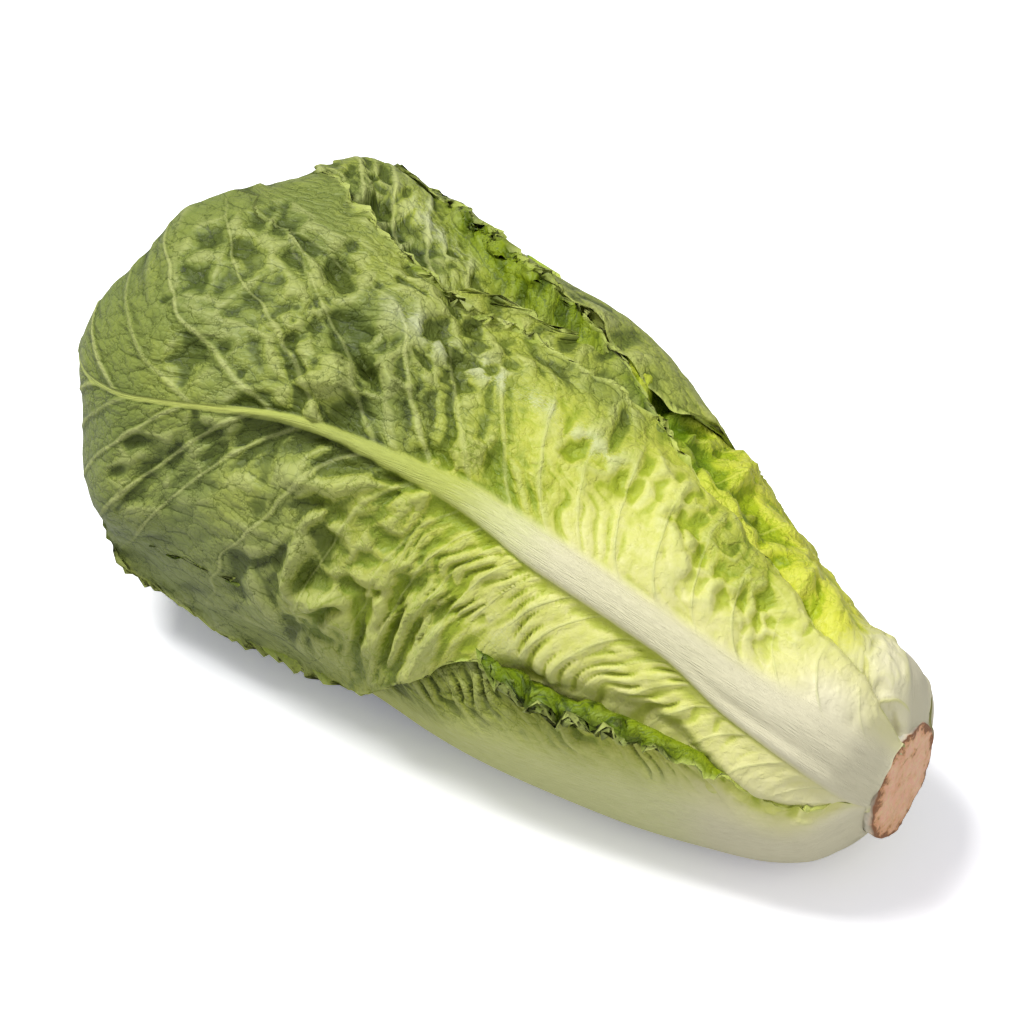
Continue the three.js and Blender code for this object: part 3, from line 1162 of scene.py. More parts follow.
class Tree:
    """The node tree of one material or world, with short ways to add to it."""

    def __init__(self, owner: Any) -> None:
        """Clears the owner's tree.

        Args:
            owner: The material or world.
        """
        owner.use_nodes = True
        self.nodes = owner.node_tree.nodes
        self.links = owner.node_tree.links
        self.nodes.clear()

    def add(self, kind: str, settings: Given = None, inputs: Given = None) -> Any:
        """Adds a node.

        Args:
            kind: The node's type.
            settings: Its own properties; a ramp's stops are given as "stops".
            inputs: Values or sockets for its inputs, by name or number.

        Returns:
            The node.
        """
        node = self.nodes.new(kind)
        for key, setting in (settings or {}).items():
            if key == "stops":
                self.set_stops(node.color_ramp, setting)
            else:
                setattr(node, key, setting)
        for key, given in (inputs or {}).items():
            socket = node.inputs[key]
            if isinstance(given, Value):
                given = given.socket
            if isinstance(given, bpy.types.NodeSocket):
                self.links.new(given, socket)
            else:
                socket.default_value = given
        return node

    @staticmethod
    def set_stops(ramp: Any, stops: Stops) -> None:
        """Gives a colour ramp its stops.

        Args:
            ramp: The ramp.
            stops: Place and colour of each stop.
        """
        while len(ramp.elements) > 1:
            ramp.elements.remove(ramp.elements[-1])
        ramp.elements[0].position = stops[0][0]
        ramp.elements[0].color = (*stops[0][1], 1)
        for place, colour in stops[1:]:
            ramp.elements.new(place).color = (*colour, 1)

    def value(self, kind: str, output: Any, settings: Given = None,
              inputs: Given = None) -> Value:
        """One output of a new node as a number to work with."""
        return Value(self, self.add(kind, settings, inputs).outputs[output])

    def marks(self, name: str) -> list[Value]:
        """The four values of a colour attribute.

        Args:
            name: The attribute's name.

        Returns:
            Red, green, blue and alpha.
        """
        attribute = self.add("ShaderNodeAttribute", {"attribute_name": name})
        parts = self.add("ShaderNodeSeparateColor", inputs={0: attribute.outputs["Color"]})
        sockets = [*parts.outputs[:3], attribute.outputs["Alpha"]]
        return [Value(self, socket) for socket in sockets]

    def ramp(self, stops: Stops, at: Value) -> Any:
        """Colour of a ramp at a value."""
        return self.add("ShaderNodeValToRGB", {"stops": stops}, {0: at}).outputs[0]

    def noise(self, scale: float, detail: float, roughness: float = 0.6) -> Value:
        """Noise on the object's own place, with the scale per millimetre.

        Args:
            scale: Swells per millimetre.
            detail: Finer layers on top.
            roughness: How strong the finer layers are.

        Returns:
            The noise, about 0.5.
        """
        place = self.add("ShaderNodeTexCoord").outputs["Object"]
        inputs = {"Scale": scale / MM, "Detail": detail, "Roughness": roughness}
        return self.value("ShaderNodeTexNoise", 0, inputs={"Vector": place, **inputs})

    def streaks(self, first: Value, second: Value, detail: float) -> Value:
        """Noise on two values of one's own choice."""
        place = self.add("ShaderNodeCombineXYZ", inputs={0: first, 1: second}).outputs[0]
        return self.value("ShaderNodeTexNoise", 0, inputs={"Vector": place, "Detail": detail})

    def bump(self, height: Value, strength: float) -> Any:
        """Normal bent by a height in millimetres."""
        inputs = {"Strength": strength, "Distance": MM, "Height": height}
        return self.add("ShaderNodeBump", inputs=inputs).outputs[0]

    def surface(self, colour: Any, rough: Value, normal: Any, **more: float) -> None:
        """A Principled surface as the material's output.

        Args:
            colour, rough, normal: The surface at each place.
            more: Further inputs of the shader.
        """
        inputs = {"Base Color": colour, "Roughness": rough, "Normal": normal, **more}
        shader = self.add("ShaderNodeBsdfPrincipled", inputs=inputs)
        self.add("ShaderNodeOutputMaterial", inputs={0: shader.outputs[0]})

    def mix(self, factor: Any, first: Any, second: Any, blend: str = "MIX") -> Any:
        """Colour between two colours.

        Args:
            factor: Share of the second colour.
            first, second: Colours or colour sockets.
            blend: How the second is laid on.

        Returns:
            The mixed colour's socket.
        """
        settings = {"data_type": "RGBA", "blend_type": blend}
        first, second = (c if not isinstance(c, tuple) else (*c, 1) for c in (first, second))
        node = self.add("ShaderNodeMix", settings, {0: factor, 6: first, 7: second})
        return node.outputs[2]


CREAM: Colour = (0.84, 0.79, 0.56)
RIB: Stops = (
    (0.0, (0.81, 0.76, 0.54)), (0.06, (0.78, 0.74, 0.49)), (0.14, (0.72, 0.73, 0.36)),
    (0.35, (0.50, 0.55, 0.12)), (0.6, (0.34, 0.41, 0.12)), (1.0, (0.27, 0.33, 0.11)),
)


@dataclass(frozen=True)
class LeafFinish:
    """Leaf tissue: pale at the rib, greener toward the tip, netted with veins."""

    name: str
    stops: Stops
    inner_stops: Stops
    vein: Colour
    deep: Colour
    # glow and deep are the tints that darken pale and green tissue: for the painted shade in
    # the pockets, the lines of the vein net and the dots.
    glow: Colour = (0.66, 0.77, 0.25)
    haze: Colour = (0.25, 0.29, 0.13)
    edge: Colour = (0.60, 0.67, 0.18)
    # Colour of the painted sheen.
    painted_sheen: Colour = (0.66, 0.69, 0.50)
    rib_stops: Stops = RIB
    roughness: float = 0.47
    fine_cell: float = 3.8
    bump: float = 0.75

    def material(self) -> bpy.types.Material:
        """Builds the material from the marks stored on each leaf.

        Returns:
            The material.
        """
        material = bpy.data.materials.new(self.name)
        tree = Tree(material)
        green, veined, haze, face = tree.marks("tone")
        rib, sheen_spots, margin, cavity = tree.marks("marks")
        blade = 1.0 - rib
        index, out, step, stalk = tree.marks("lay")
        run = tree.marks("run")[3]
        away = (index - index.math("ROUND")).math("ABSOLUTE") * step
        far = out.math("ABSOLUTE")
        away = away / (far.steps(48.0, 4.0) * green.steps(0.3, 0.6) + 1.0)
        grain = tree.noise(0.35, 4.0)

        # The tissue, with painted shade deepening and darkening the pockets and a painted
        # highlight where it stands out.
        pocket_shade = cavity.steps(0.5, 0.12) * green.steps(0.0, 0.25)
        dark = tree.mix(green.steps(0.45, 0.68), self.glow, self.deep)
        depth = green + (grain - 0.5) * 0.32 * green.steps(0.0, 0.3) + pocket_shade * 0.12
        depth = depth.clamped()
        inner = tree.ramp(self.inner_stops, depth)
        colour = tree.mix(face, tree.ramp(self.stops, depth), inner)
        colour = tree.mix(haze * 0.5 * blade * (1.0 - face), colour, self.haze)
        # Painted shade: the pockets are multiplied darker.
        colour = tree.mix(pocket_shade * green.steps(0.08, 0.4) * 0.8, colour, dark, "MULTIPLY")
        # Painted highlight: raised places are mixed toward the pale vein colour.
        ridge_highlight = cavity.steps(0.55, 0.9) * 0.3 * blade * (1.0 - face * 0.8)
        colour = tree.mix(ridge_highlight, colour, self.vein)

        # The rib, streaked along its length.
        along = tree.streaks(out * 0.7, run * 0.035, 4.0)
        stalk = stalk + (along - 0.45) * 0.22 * stalk.steps(0.0, 0.2)
        colour = tree.mix(rib, colour, tree.ramp(self.rib_stops, stalk))

        # The net of fine veins, and the pale side veins with a dark line beside each.
        across = (far * 0.82 + run * 0.57) / self.fine_cell
        fine = self.net(tree, index * 2.4, across * 0.55, grain)
        finer = self.net(tree, index * 6.3, across * 1.4, grain)
        shown = green.steps(0.25, 0.6) * blade
        sides = away.steps(0.4, 0.7) * away.steps(1.3, 0.8) * shown * veined
        lines = fine.steps(0.06, 0.015) * 0.68 + finer.steps(0.07, 0.02) * 0.36
        lines = (lines * shown + sides * 0.45).clamped()
        colour = tree.mix(lines, colour, dark, "MULTIPLY")
        core = away.steps(0.5, 0.15) * blade * veined
        colour = tree.mix(core * 0.3, colour, self.vein)
        colour = tree.mix(margin * 0.6, colour, self.edge)

        # Rows of small dark dots beside the side veins, near the rib.
        dots = (out * 1.9).math("SINE").steps(0.1, 0.9)
        dots = dots * away.steps(0.6, 1.0) * away.steps(2.6, 1.6) * far.steps(4.0, 8.0)
        dots = dots * out.steps(-32.0, -22.0) * out.steps(0.0, -2.0)
        dots = dots * green.steps(0.35, 0.5) * blade
        colour = tree.mix(dots * 0.5, colour, dark, "MULTIPLY")

        # Painted sheen on the raised places, in streaks along the side veins, where the surface
        # is also a little smoother.
        streak = tree.streaks(index * 2.2, out * 0.9, 5.0)
        painted_sheen = sheen_spots * (streak * 1.6 + cavity - 0.95).steps(0.25, 0.6)
        colour = tree.mix(painted_sheen * 0.6, colour, self.painted_sheen)

        puffed = fine.steps(0.0, 0.35) * 0.55 + finer.steps(0.0, 0.3) * 0.16
        height = puffed * (0.3 + 0.7 * shown) * blade + core * 0.2 - dots * 0.3
        height = height + (grain - 0.5) * 0.3 * (0.25 + 0.75 * blade)
        height = height + (along - 0.5) * rib * 0.9
        rough = (self.roughness + (grain - 0.5) * 0.3 - painted_sheen * 0.12).clamped()
        gloss = {"Specular IOR Level": 0.22}
        tree.surface(colour, rough, tree.bump(height, self.bump), **gloss)
        return material

    @staticmethod
    def net(tree: Tree, along: Value, across: Value, grain: Value) -> Value:
        """Distance from a net of fine veins laid along the side veins, in cell widths.

        Args:
            tree: The material's tree.
            along, across: Place along and across the cells.
            grain: Unevenness added to both.

        Returns:
            The distance.
        """
        place = tree.add("ShaderNodeCombineXYZ", inputs={0: along + grain, 1: across + grain})
        settings = {"feature": "DISTANCE_TO_EDGE", "voronoi_dimensions": "2D"}
        inputs = {"Vector": place.outputs[0], "Scale": 1.0, "Randomness": 0.85}
        return tree.value("ShaderNodeTexVoronoi", "Distance", settings, inputs)


# ------------------------------------------------------------------- studio
@dataclass(frozen=True)
class Studio:
    """Camera, lamps, floor and backdrop."""

    azimuth: float = 38.0
    elevation: float = 42.0
    distance: float = 1.05
    lens: float = 120.5
    target: tuple[float, float, float] = (-0.0078, 0.0056, 0.0585)

    def back(self, azimuth: float, elevation: float) -> Vector:
        """Unit vector from the object toward a viewer."""
        a, e = math.radians(azimuth), math.radians(elevation)
        return Vector((math.sin(a) * math.cos(e), -math.cos(a) * math.cos(e), math.sin(e)))

    def aim(self, obj: bpy.types.Object, position: Vector, at: Vector) -> None:
        """Stands an object at a place and points it at another."""
        obj.location = position
        obj.rotation_euler = (at - position).to_track_quat("-Z", "Y").to_euler()

    def camera(self) -> None:
        """The camera at the given angle."""
        data = bpy.data.cameras.new("camera")
        data.lens, data.sensor_width = self.lens, 36
        data.clip_start, data.clip_end = 0.05, 30
        obj = put("camera", data)
        target = Vector(self.target)
        self.aim(obj, target + self.back(self.azimuth, self.elevation) * self.distance, target)
        bpy.context.scene.camera = obj

    def lamp(self, name: str, azimuth: float, elevation: float, distance: float,
             size: float, power: float) -> None:
        """A square soft lamp pointed at the head.

        Args:
            name: The lamp's name.
            azimuth, elevation: Where it stands, in degrees.
            distance, size: How far off and how wide, in metres.
            power: Watts.
        """
        data = bpy.data.lights.new(name, "AREA")
        data.energy, data.size = power, size
        centre = Vector((0, 0, 0.06))
        self.aim(put(name, data), centre + self.back(azimuth, elevation) * distance, centre)

    def world(self) -> None:
        """Soft surrounding light, seen as plain white."""
        world = bpy.data.worlds.new("studio")
        bpy.context.scene.world = world
        tree = Tree(world)
        path = tree.add("ShaderNodeLightPath")
        soft, white = (
            tree.add("ShaderNodeBackground", inputs={0: (1, 1, 1, 1), "Strength": strength})
            for strength in (0.36, 1.0)
        )
        inputs = {0: path.outputs["Is Camera Ray"], 1: soft.outputs[0], 2: white.outputs[0]}
        mixed = tree.add("ShaderNodeMixShader", inputs=inputs)
        tree.add("ShaderNodeOutputWorld", inputs={0: mixed.outputs[0]})

    def floor(self) -> None:
        """A pale floor that keeps the head's shadow and is white where it is lit."""
        mesh = bpy.data.meshes.new("floor")
        reach = 6.0
        corners = [(x * reach, y * reach, 0) for x, y in ((-1, -1), (1, -1), (1, 1), (-1, 1))]
        mesh.from_pydata(corners, [], [(0, 1, 2, 3)])
        material = bpy.data.materials.new("pale_floor")
        tree = Tree(material)
        seen = tree.value("ShaderNodeLightPath", "Is Camera Ray")
        floor = tree.add("ShaderNodeBsdfDiffuse", inputs={"Color": (0.62, 0.62, 0.62, 1)})
        glow = {"Color": (0.9, 0.9, 1.3, 1), "Strength": seen * 0.14}
        glow = tree.add("ShaderNodeEmission", inputs=glow)
        lift = tree.add("ShaderNodeBsdfDiffuse", inputs={"Color": seen * 0.75})
        for more in (glow, lift):
            both = {0: floor.outputs[0], 1: more.outputs[0]}
            floor = tree.add("ShaderNodeAddShader", inputs=both)
        tree.add("ShaderNodeOutputMaterial", inputs={0: floor.outputs[0]})
        mesh.materials.append(material)
        obj = put("floor", mesh)

    def build(self) -> None:
        """Sets up everything round the head."""
        self.camera()
        self.world()
        self.floor()
        self.lamp("overhead", azimuth=300, elevation=68, distance=1.5, size=0.6, power=21)
        self.lamp("fill", azimuth=72, elevation=38, distance=1.8, size=1.2, power=6)
        bpy.context.scene.view_settings.view_transform = "Standard"


# ------------------------------------------------------------------ finishes
OUTER_LEAF = LeafFinish(
    name="outer_leaf",
    stops=((0.0, CREAM), (0.12, (0.77, 0.74, 0.34)), (0.3, (0.655, 0.665, 0.175)),
           (0.45, (0.50, 0.535, 0.07)), (0.6, (0.37, 0.42, 0.06)),
           (0.8, (0.225, 0.275, 0.05)), (1.0, (0.16, 0.21, 0.04))),
    inner_stops=((0.0, (0.72, 0.70, 0.38)), (0.2, (0.52, 0.58, 0.06)),
                 (0.5, (0.27, 0.35, 0.01)), (0.8, (0.16, 0.235, 0.004)),
                 (1.0, (0.12, 0.19, 0.004))),
    vein=(0.60, 0.63, 0.25),
    deep=(0.35, 0.385, 0.22),
)
INNER_LEAF = LeafFinish(
    name="inner_leaf",
    stops=((0.0, CREAM), (0.15, (0.76, 0.74, 0.36)), (0.4, (0.68, 0.69, 0.07)),
           (0.7, (0.54, 0.60, 0.03)), (1.0, (0.30, 0.40, 0.02))),
    inner_stops=((0.0, (0.74, 0.72, 0.40)), (0.4, (0.50, 0.58, 0.05)),
                 (1.0, (0.24, 0.36, 0.015))),
    vein=(0.74, 0.75, 0.15),
    deep=(0.55, 0.64, 0.15),
)


@dataclass(frozen=True)
class StemFinish:
    """The cut stem: moist flesh, browned at the rim."""

    flesh: Colour = (0.98, 0.52, 0.35)
    pale: Colour = (1.0, 0.72, 0.42)
    tan: Colour = (0.76, 0.35, 0.12)
    rust: Colour = (0.24, 0.08, 0.02)
    skin: Colour = (0.85, 0.82, 0.68)

    def material(self) -> bpy.types.Material:
        """Builds the material from the stem's own marks.

        Returns:
            The material.
        """
        material = bpy.data.materials.new("cut_stem")
        tree = Tree(material)
        rim, side, _, _ = tree.marks("marks")
        grain = tree.noise(0.5, 6.0, 0.65)
        spots = tree.noise(0.2, 4.0, 0.6)
        colour = tree.mix(grain.steps(0.35, 0.7), self.flesh, self.pale)
        age = rim * 1.5 + (spots - 0.5) * 3.6 + (grain - 0.5) * 2.6
        colour = tree.mix(age.steps(-0.3, 0.9) * 0.7, colour, self.tan)
        colour = tree.mix(age.steps(0.5, 1.15) * 0.88, colour, self.rust)
        colour = tree.mix(side, colour, self.skin)
        rough = 0.5 + (grain - 0.5) * 0.3
        tree.surface(colour, rough, tree.bump(grain * 0.9, 0.7))
        return material


@dataclass(frozen=True)
class Stem:
    """The tapering core, cut a little askew, with an uneven browned rim."""

    sides: int = 220
    rings: int = 70
    rows: int = 60
    length: float = 70.0
    slant: float = 0.15
    forward: float = 1.2
    collar: float = 12.0

    def build(self, head: HeadForm) -> bpy.types.Object:
        """Makes the stem's closed mesh: the cut face first, then the side.

        Args:
            head: The head that it belongs to.

        Returns:
            The stem's object.
        """
        turn = np.linspace(0, 360, self.sides, endpoint=False)[None, :]
        core = Curve(head.core)
        uneven = 0.05 * np.cos(np.radians(2 * turn + 40))
        rim = core(0.0) * (1 + uneven + 0.035 * ripple(turn * 0.5, turn * 0, 22, 4))
        inward = np.linspace(0, 1, self.rings)[:, None]
        flat_r = rim * np.sqrt(inward)
        x, y = flat_r * np.cos(np.radians(turn)), flat_r * np.sin(np.radians(turn))
        rough = 0.25 * ripple(x, y, 7, 8) + 0.12 * ripple(x, y, 2.6, 9)
        dished = 0.8 * np.sqrt(inward) ** 4 + rough
        cut_s = self.slant * flat_r * np.cos(np.radians(turn + 15)) + dished - self.forward
        side_s = np.linspace(0, 1, self.rows)[1:, None] ** 1.3 * self.length
        side_r = core(side_s) * np.where(side_s < self.collar, rim / core(0.0), 1)
        side_r = side_r * (1 + 0.02 * ripple(turn * 0.3, side_s, 6, 12))
        side_place = side_s + np.exp(-side_s / 4) * cut_s[-1:]
        points = np.concatenate([
            head.place(cut_s, turn + 0 * cut_s, flat_r),
            head.place(side_place, turn + 0 * side_r, side_r),
        ])
        rows = points.shape[0]
        at = np.arange(rows * self.sides).reshape(rows, self.sides)
        around = np.roll(at, -1, axis=1)
        quads = np.stack([at[:-1], around[:-1], around[1:], at[1:]], axis=-1).reshape(-1, 4)
        faces = [tuple(q) for q in quads] + [tuple(at[-1])]
        flat = points.reshape(-1, 3) * MM
        flat[: self.sides] = flat[: self.sides].mean(axis=0)
        mesh = bpy.data.meshes.new("stem_cut")
        mesh.from_pydata(flat.tolist(), [], faces)
        values = np.zeros((rows, self.sides, 4))
        values[: self.rings, :, 0] = inward**4
        values[self.rings :, :, 0] = np.exp(-side_s / 1.5)
        values[self.rings :, :, 1] = 1 - np.exp(-side_s / 0.8)
        store(mesh, "marks", values)
        mesh.polygons.foreach_set("use_smooth", np.ones(len(faces), bool))
        mesh.validate()
        return put("stem_cut", mesh)


# ------------------------------------------------------------ the leaf forms
FRONT_UPPER_VEINS = SideVeins(
    starts=(-12, 4, 18, 32, 46, 60, 73, 86, 98, 110, 122, 136, 149, 167, 184, 200, 224, 252),
    lean=((0, 0.15), (60, 0.2), (100, 0.38), (120, 0.62), (140, 0.75), (166, 0.98), (186, 1.1),
          (202, 1.5), (250, 1.9)),
    hug=((0, 12), (100, 8), (150, 3), (200, 0)),
    sweep=((0, 0.01), (120, 0.03), (150, 0.03), (166, 0.0)), sweep_from=38,
)
FRONT_LOWER_VEINS = SideVeins(
    starts=(-10, 6, 20, 34, 48, 62, 75, 88, 98, 107, 117, 128, 146, 166, 187, 205, 226, 246,
            262),
    lean=((0, 0.3), (100, 0.2), (140, 0.12), (160, 0.25), (188, 0.7), (240, 0.75)),
    hug=((-40, 60), (0, 50), (60, 34), (110, 20), (150, 17), (200, 10)), bend=10,
)
FRONT_RELIEF = Relief(
    vein_height=0.4, vein_width=0.6, pocket_base=0.1, billow=1.2, ruffle=0.4, ruffle_length=20,
    jag=0.9, crumple_base=0.9, pleat_count=2,
    dips=(
        Dips(2.8, 5.5, ((253, -0.55), (244, -0.67), (241, -0.57), (238, -0.71), (226, -0.66),
                        (246, -0.41), (238, -0.45), (227, -0.44), (233, -0.18),
                        (213, -0.74))),
        Dips(3.5, 9.0, ((230, 0.32), (222, 0.26), (212, 0.17), (203, 0.10), (198, -0.48))),
        Dips(3.2, 4.0, ((178, 0.45), (168, 0.34), (156, 0.36), (143, 0.47), (171, 0.22),
                        (152, 0.29), (184, -0.53), (177, -0.5), (192, -0.54), (176, -0.79),
                        (164, -0.57), (205, -0.45), (169, -0.93), (121, -0.5))),
        Dips(3.0, 3.8, ((73, -0.48), (66, -0.52), (57, -0.46), (50, -0.44), (52, -0.62),
                        (44, -0.39), (70, -0.32), (84, -0.6), (61, -0.38), (47, -0.55))),
    ),
    pockets=(Spot(205, -0.42, 1.6, 26, 0.24), Spot(178, -0.7, 1.4, 26, 0.3),
             Spot(170, 0.5, 1.2, 24, 0.28), Spot(60, -0.6, 1.0, 34, 0.35),
             Spot(132, 0.6, 0.8, 22, 0.3)),
    pleats=(Spot(85, 0.45, 2.2, 55, 0.45), Spot(150, 0.35, 1.2, 30, 0.3),
            Spot(60, -0.6, 0.8, 40, 0.4), Spot(130, -0.5, 0.5, 40, 0.5)),
    crumples=(Spot(165, 0.4, 5.4, 28, 0.34), Spot(185, -0.45, 6.5, 33, 0.38),
              Spot(125, -0.5, 2.2, 26, 0.4), Spot(75, -0.5, 0.6, 34, 0.5),
              Spot(120, 0.8, 1.6, 40, 0.3), Spot(250, 0.2, -0.7, 30, 0.9)),
)
FRONT = LeafForm(
    name="leaf_front", slot="outer_leaf", start=1.5, end=284, crown=40, rows=372, columns=224,
    mid=((5, 36), (94, 35), (130, 35.5), (160, 39), (192, 44), (222, 54), (255, 65), (285, 72)),
    low=((5, 8), (24, 4), (41, -2), (53, -8), (70, -12), (99, -16), (112, -20), (124, -17),
         (150, -14), (162, -12), (176, -6), (200, -8), (225, -13), (250, -22), (285, -14)),
    high=((5, 88), (60, 88), (95, 88), (112, 77), (122, 84), (140, 104), (160, 121),
          (180, 127), (208, 125), (244, 121), (285, 117)),
    rib=10, rib_lean=1.0, gap=1.0, heel=7,
    rib_side=((5, 6), (41, 6.5), (67, 4.4), (108, 4.2), (130, 2.6), (150, 1.4), (182, 0.4)),
    rib_width=((5, 10), (41, 7.8), (67, 5.8), (108, 5.6), (127, 4.8), (155, 3.2), (182, 1.8),
               (215, 1.1), (250, 0.7)),
    rib_height=((5, 2), (30, 3.4), (60, 4.0), (100, 4.0), (127, 3.2), (155, 2.2), (182, 1.4),
                (250, 0.6)),
    rib_green=((5, 0.0), (30, 0.01), (60, 0.06), (100, 0.06), (120, 0.13), (145, 0.34),
               (180, 0.40), (210, 0.36), (284, 0.5)),
    veins_high=FRONT_LOWER_VEINS, veins_low=FRONT_UPPER_VEINS, relief=FRONT_RELIEF,
    flare_low=((5, -2.5), (70, -2.5), (92, -1), (108, 2), (160, 1.5), (240, 1), (284, 0)),
    flare_high=((5, 0), (125, 0), (150, 3.0), (200, 4.5), (250, 4), (284, 3)),
    flare_wave=0.15,
    tuck=((0, 3.4), (100, 3.4), (113, 0.2), (120, 0)),
    tuck_turn=((0, 76), (20, 81), (40, 74), (60, 67), (76, 70), (104, 74), (112, 80),
               (116, 400)),
    green=((5, 0.04), (20, 0.14), (40, 0.30), (70, 0.42), (110, 0.46), (150, 0.57),
           (190, 0.70), (250, 0.83), (284, 0.88)),
    tint=(Spot(92, -0.35, -0.22, 34, 0.4), Spot(130, -0.5, 0.05, 24, 0.5),
          Spot(235, 0.65, 0.05, 50, 0.35), Spot(75, 0.95, 0.4, 34, 0.16),
          Spot(50, 0.4, 0.2, 36, 0.3), Spot(92, 0.45, 0.08, 36, 0.4),
          Spot(154, 0.5, -0.13, 28, 0.4), Spot(62, -0.65, 0.16, 24, 0.3),
          Spot(170, -0.3, 0.13, 18, 0.3), Spot(146, -0.4, -0.08, 14, 0.35),
          Spot(183, -0.6, 0.06, 20, 0.3), Spot(114, -0.35, 0.04, 18, 0.3),
          # The last spot deepens the green of the far edge beside the gap: painted shade.
          Spot(42, -0.3, -0.1, 22, 0.5), Spot(128, -0.95, 0.2, 16, 0.15)),
    lush=(Spot(75, 1, 0.7, 34, 0.2),),
    haze=(Spot(185, 0.8, 1.0, 62, 0.6), Spot(200, -0.5, 0.2, 60, 0.8)),
    # Spots of painted sheen.
    sheen_spots=(Spot(179, -0.72, 0.7, 12, 0.06), Spot(160, -0.66, 0.7, 12, 0.06),
         Spot(140, -0.64, 0.7, 12, 0.06), Spot(118, -0.58, 0.6, 12, 0.07),
         Spot(110, 0.8, 0.4, 20, 0.2)),
    seed=3,
)
BOTTOM = LeafForm(
    name="leaf_bottom", slot="outer_leaf", start=1.5, end=268, crown=50, rows=280, columns=148,
    coarse=2,
    mid=((5, 126), (60, 122), (110, 122), (200, 138), (268, 150)),
    low=((5, 74), (14, 80), (26, 80), (42, 69), (59, 62), (75, 66), (90, 69), (104, 69),
         (114, 74), (150, 92), (220, 98), (268, 104)),
    high=((5, 210), (40, 208), (120, 212), (200, 222), (268, 222)),
    rib=11, gap=1.0, lift=((0, 0), (104, 0), (122, 1), (268, 1)), heel=7,
    rib_width=((5, 16), (12, 17), (28, 22), (50, 26), (97, 24), (130, 15), (200, 4), (268, 2)),
    rib_height=((5, 0.3), (60, 0.8), (127, 1.2), (182, 1.2), (250, 0.6)),
    rib_green=((5, 0.0), (28, 0.03), (50, 0.12), (97, 0.2), (150, 0.3), (268, 0.5)),
    veins_low=SideVeins(even_veins(-80, 268, 13, 5), lean=((0, 1.1), (110, 1.2), (200, 1.0))),
    curl_low=((26, 60), (50, 150), (96, 155), (124, 120), (130, 0)), curl_bend=1.8,
    curl_width=((24, 0), (44, 6), (60, 9.5), (98, 9.5), (124, 0)),
    relief=Relief(pocket_base=0.3, ruffle=1.4, ruffle_length=9, jag=1.5,
                  pockets=(Spot(80, -0.7, 0.8, 45, 0.3),), crumple_base=0.8,
                  pleats=(Spot(78, -0.7, 4.5, 45, 0.25),), pleat_count=2),
    tint=(Spot(75, -1, 0.5, 55, 0.14),), curl_wave=0.3,
    green=((5, 0.04), (30, 0.16), (60, 0.40), (110, 0.62), (160, 0.75), (220, 0.85),
           (268, 0.9)),
    seed=5,
)
BACK = LeafForm(
    name="leaf_back", slot="outer_leaf", start=1.5, end=278, crown=46, rows=190, columns=110,
    mid=((5, 256), (120, 254), (278, 262)),
    low=((5, 204), (60, 196), (140, 186), (220, 186), (278, 200)),
    high=((5, 296), (60, 292), (95, 298), (102, 309), (108, 319), (114, 327), (137, 326),
          (150, 324), (215, 322), (240, 318), (278, 308)),
    rib=10, heel=7, haze=(Spot(150, 0, 0.35, 200, 3),),
    relief=Relief(pocket_base=0.5, ruffle=1.2),
    green=((5, 0.04), (60, 0.3), (110, 0.55), (160, 0.65), (220, 0.75), (278, 0.8)),
    seed=7,
)
CRINKLED = LeafForm(
    name="leaf_crinkled", slot="inner_leaf", start=3, end=234, crown=52, rows=250, columns=110,
    coarse=2,
    mid=((8, 326), (30, 300), (60, 284), (234, 268)),
    low=((8, 284), (40, 262), (120, 230), (234, 230)),
    high=((8, 384), (40, 374), (80, 366), (100, 358), (120, 340), (150, 320), (172, 311),
          (234, 306)),
    rib=9, gap=0.8, lift_reach=1, heel=7,
    rib_width=((5, 10), (24, 7), (50, 4), (160, 1.5)),
    relief=Relief(pocket_base=1.0, pleat_base=1.2, pleat_count=2, crumple_base=2.6, ruffle=1.5,
                  ruffle_length=12, jag=1.0,
                  dips=(Dips(7, 6.5, ((120, 0.72), (110, 0.68), (100, 0.64), (90, 0.62),
                                      (80, 0.6), (70, 0.6))),)),
    # The tint and lush spots deepen the green in the gap along the front leaf's edge: painted
    # shade on top of the dips there.
    tint=(Spot(100, 0.66, 0.45, 40, 0.1),),
    green=((5, 0.0), (20, 0.1), (34, 0.38), (90, 0.55), (130, 0.62), (160, 0.8), (234, 0.8)),
    lush=(Spot(115, 0.8, 0.9, 22, 0.5),),
    seed=9,
)
TOP = LeafForm(
    name="leaf_top", slot="outer_leaf", start=16, end=258, crown=34, rows=270, columns=150,
    coarse=2,
    mid=((16, 32), (120, 26), (170, 2), (258, -10)),
    low=((16, 12), (60, 10), (114, 4), (124, -8), (132, -22), (138, -30), (152, -31),
         (165, -30), (180, -31), (198, -35), (210, -39), (225, -45), (258, -52)),
    high=((16, 54), (60, 60), (140, 66), (258, 40)),
    rib=7, gap=0.8, lift_reach=1,
    curl_low=((134, 0), (148, 52), (190, 52), (215, 34), (235, 0)), curl_bend=3, curl_wave=0.35,
    curl_width=((134, 0), (146, 9), (158, 12), (180, 11), (200, 9), (218, 6), (235, 0)),
    relief=Relief(pocket_base=0.7, crumple_base=1.0, ruffle=2.0, ruffle_length=13, jag=1.6,
                  dips=(Dips(6.0, 6.5, ((203, -0.30), (213, -0.34), (223, -0.38))),),
                  pockets=(Spot(215, -0.3, 1.4, 25, 0.4),)),
    green=((5, 0.1), (110, 0.5), (160, 0.64), (220, 0.70), (258, 0.80)),
    # The first spots place painted sheen.
    sheen_spots=(Spot(206, -0.66, 0.8, 16, 0.12),), tint=(Spot(214, -0.3, 0.3, 24, 0.14),),
    lush=(Spot(172, -1, 1.6, 42, 0.26),),
    seed=11,
)
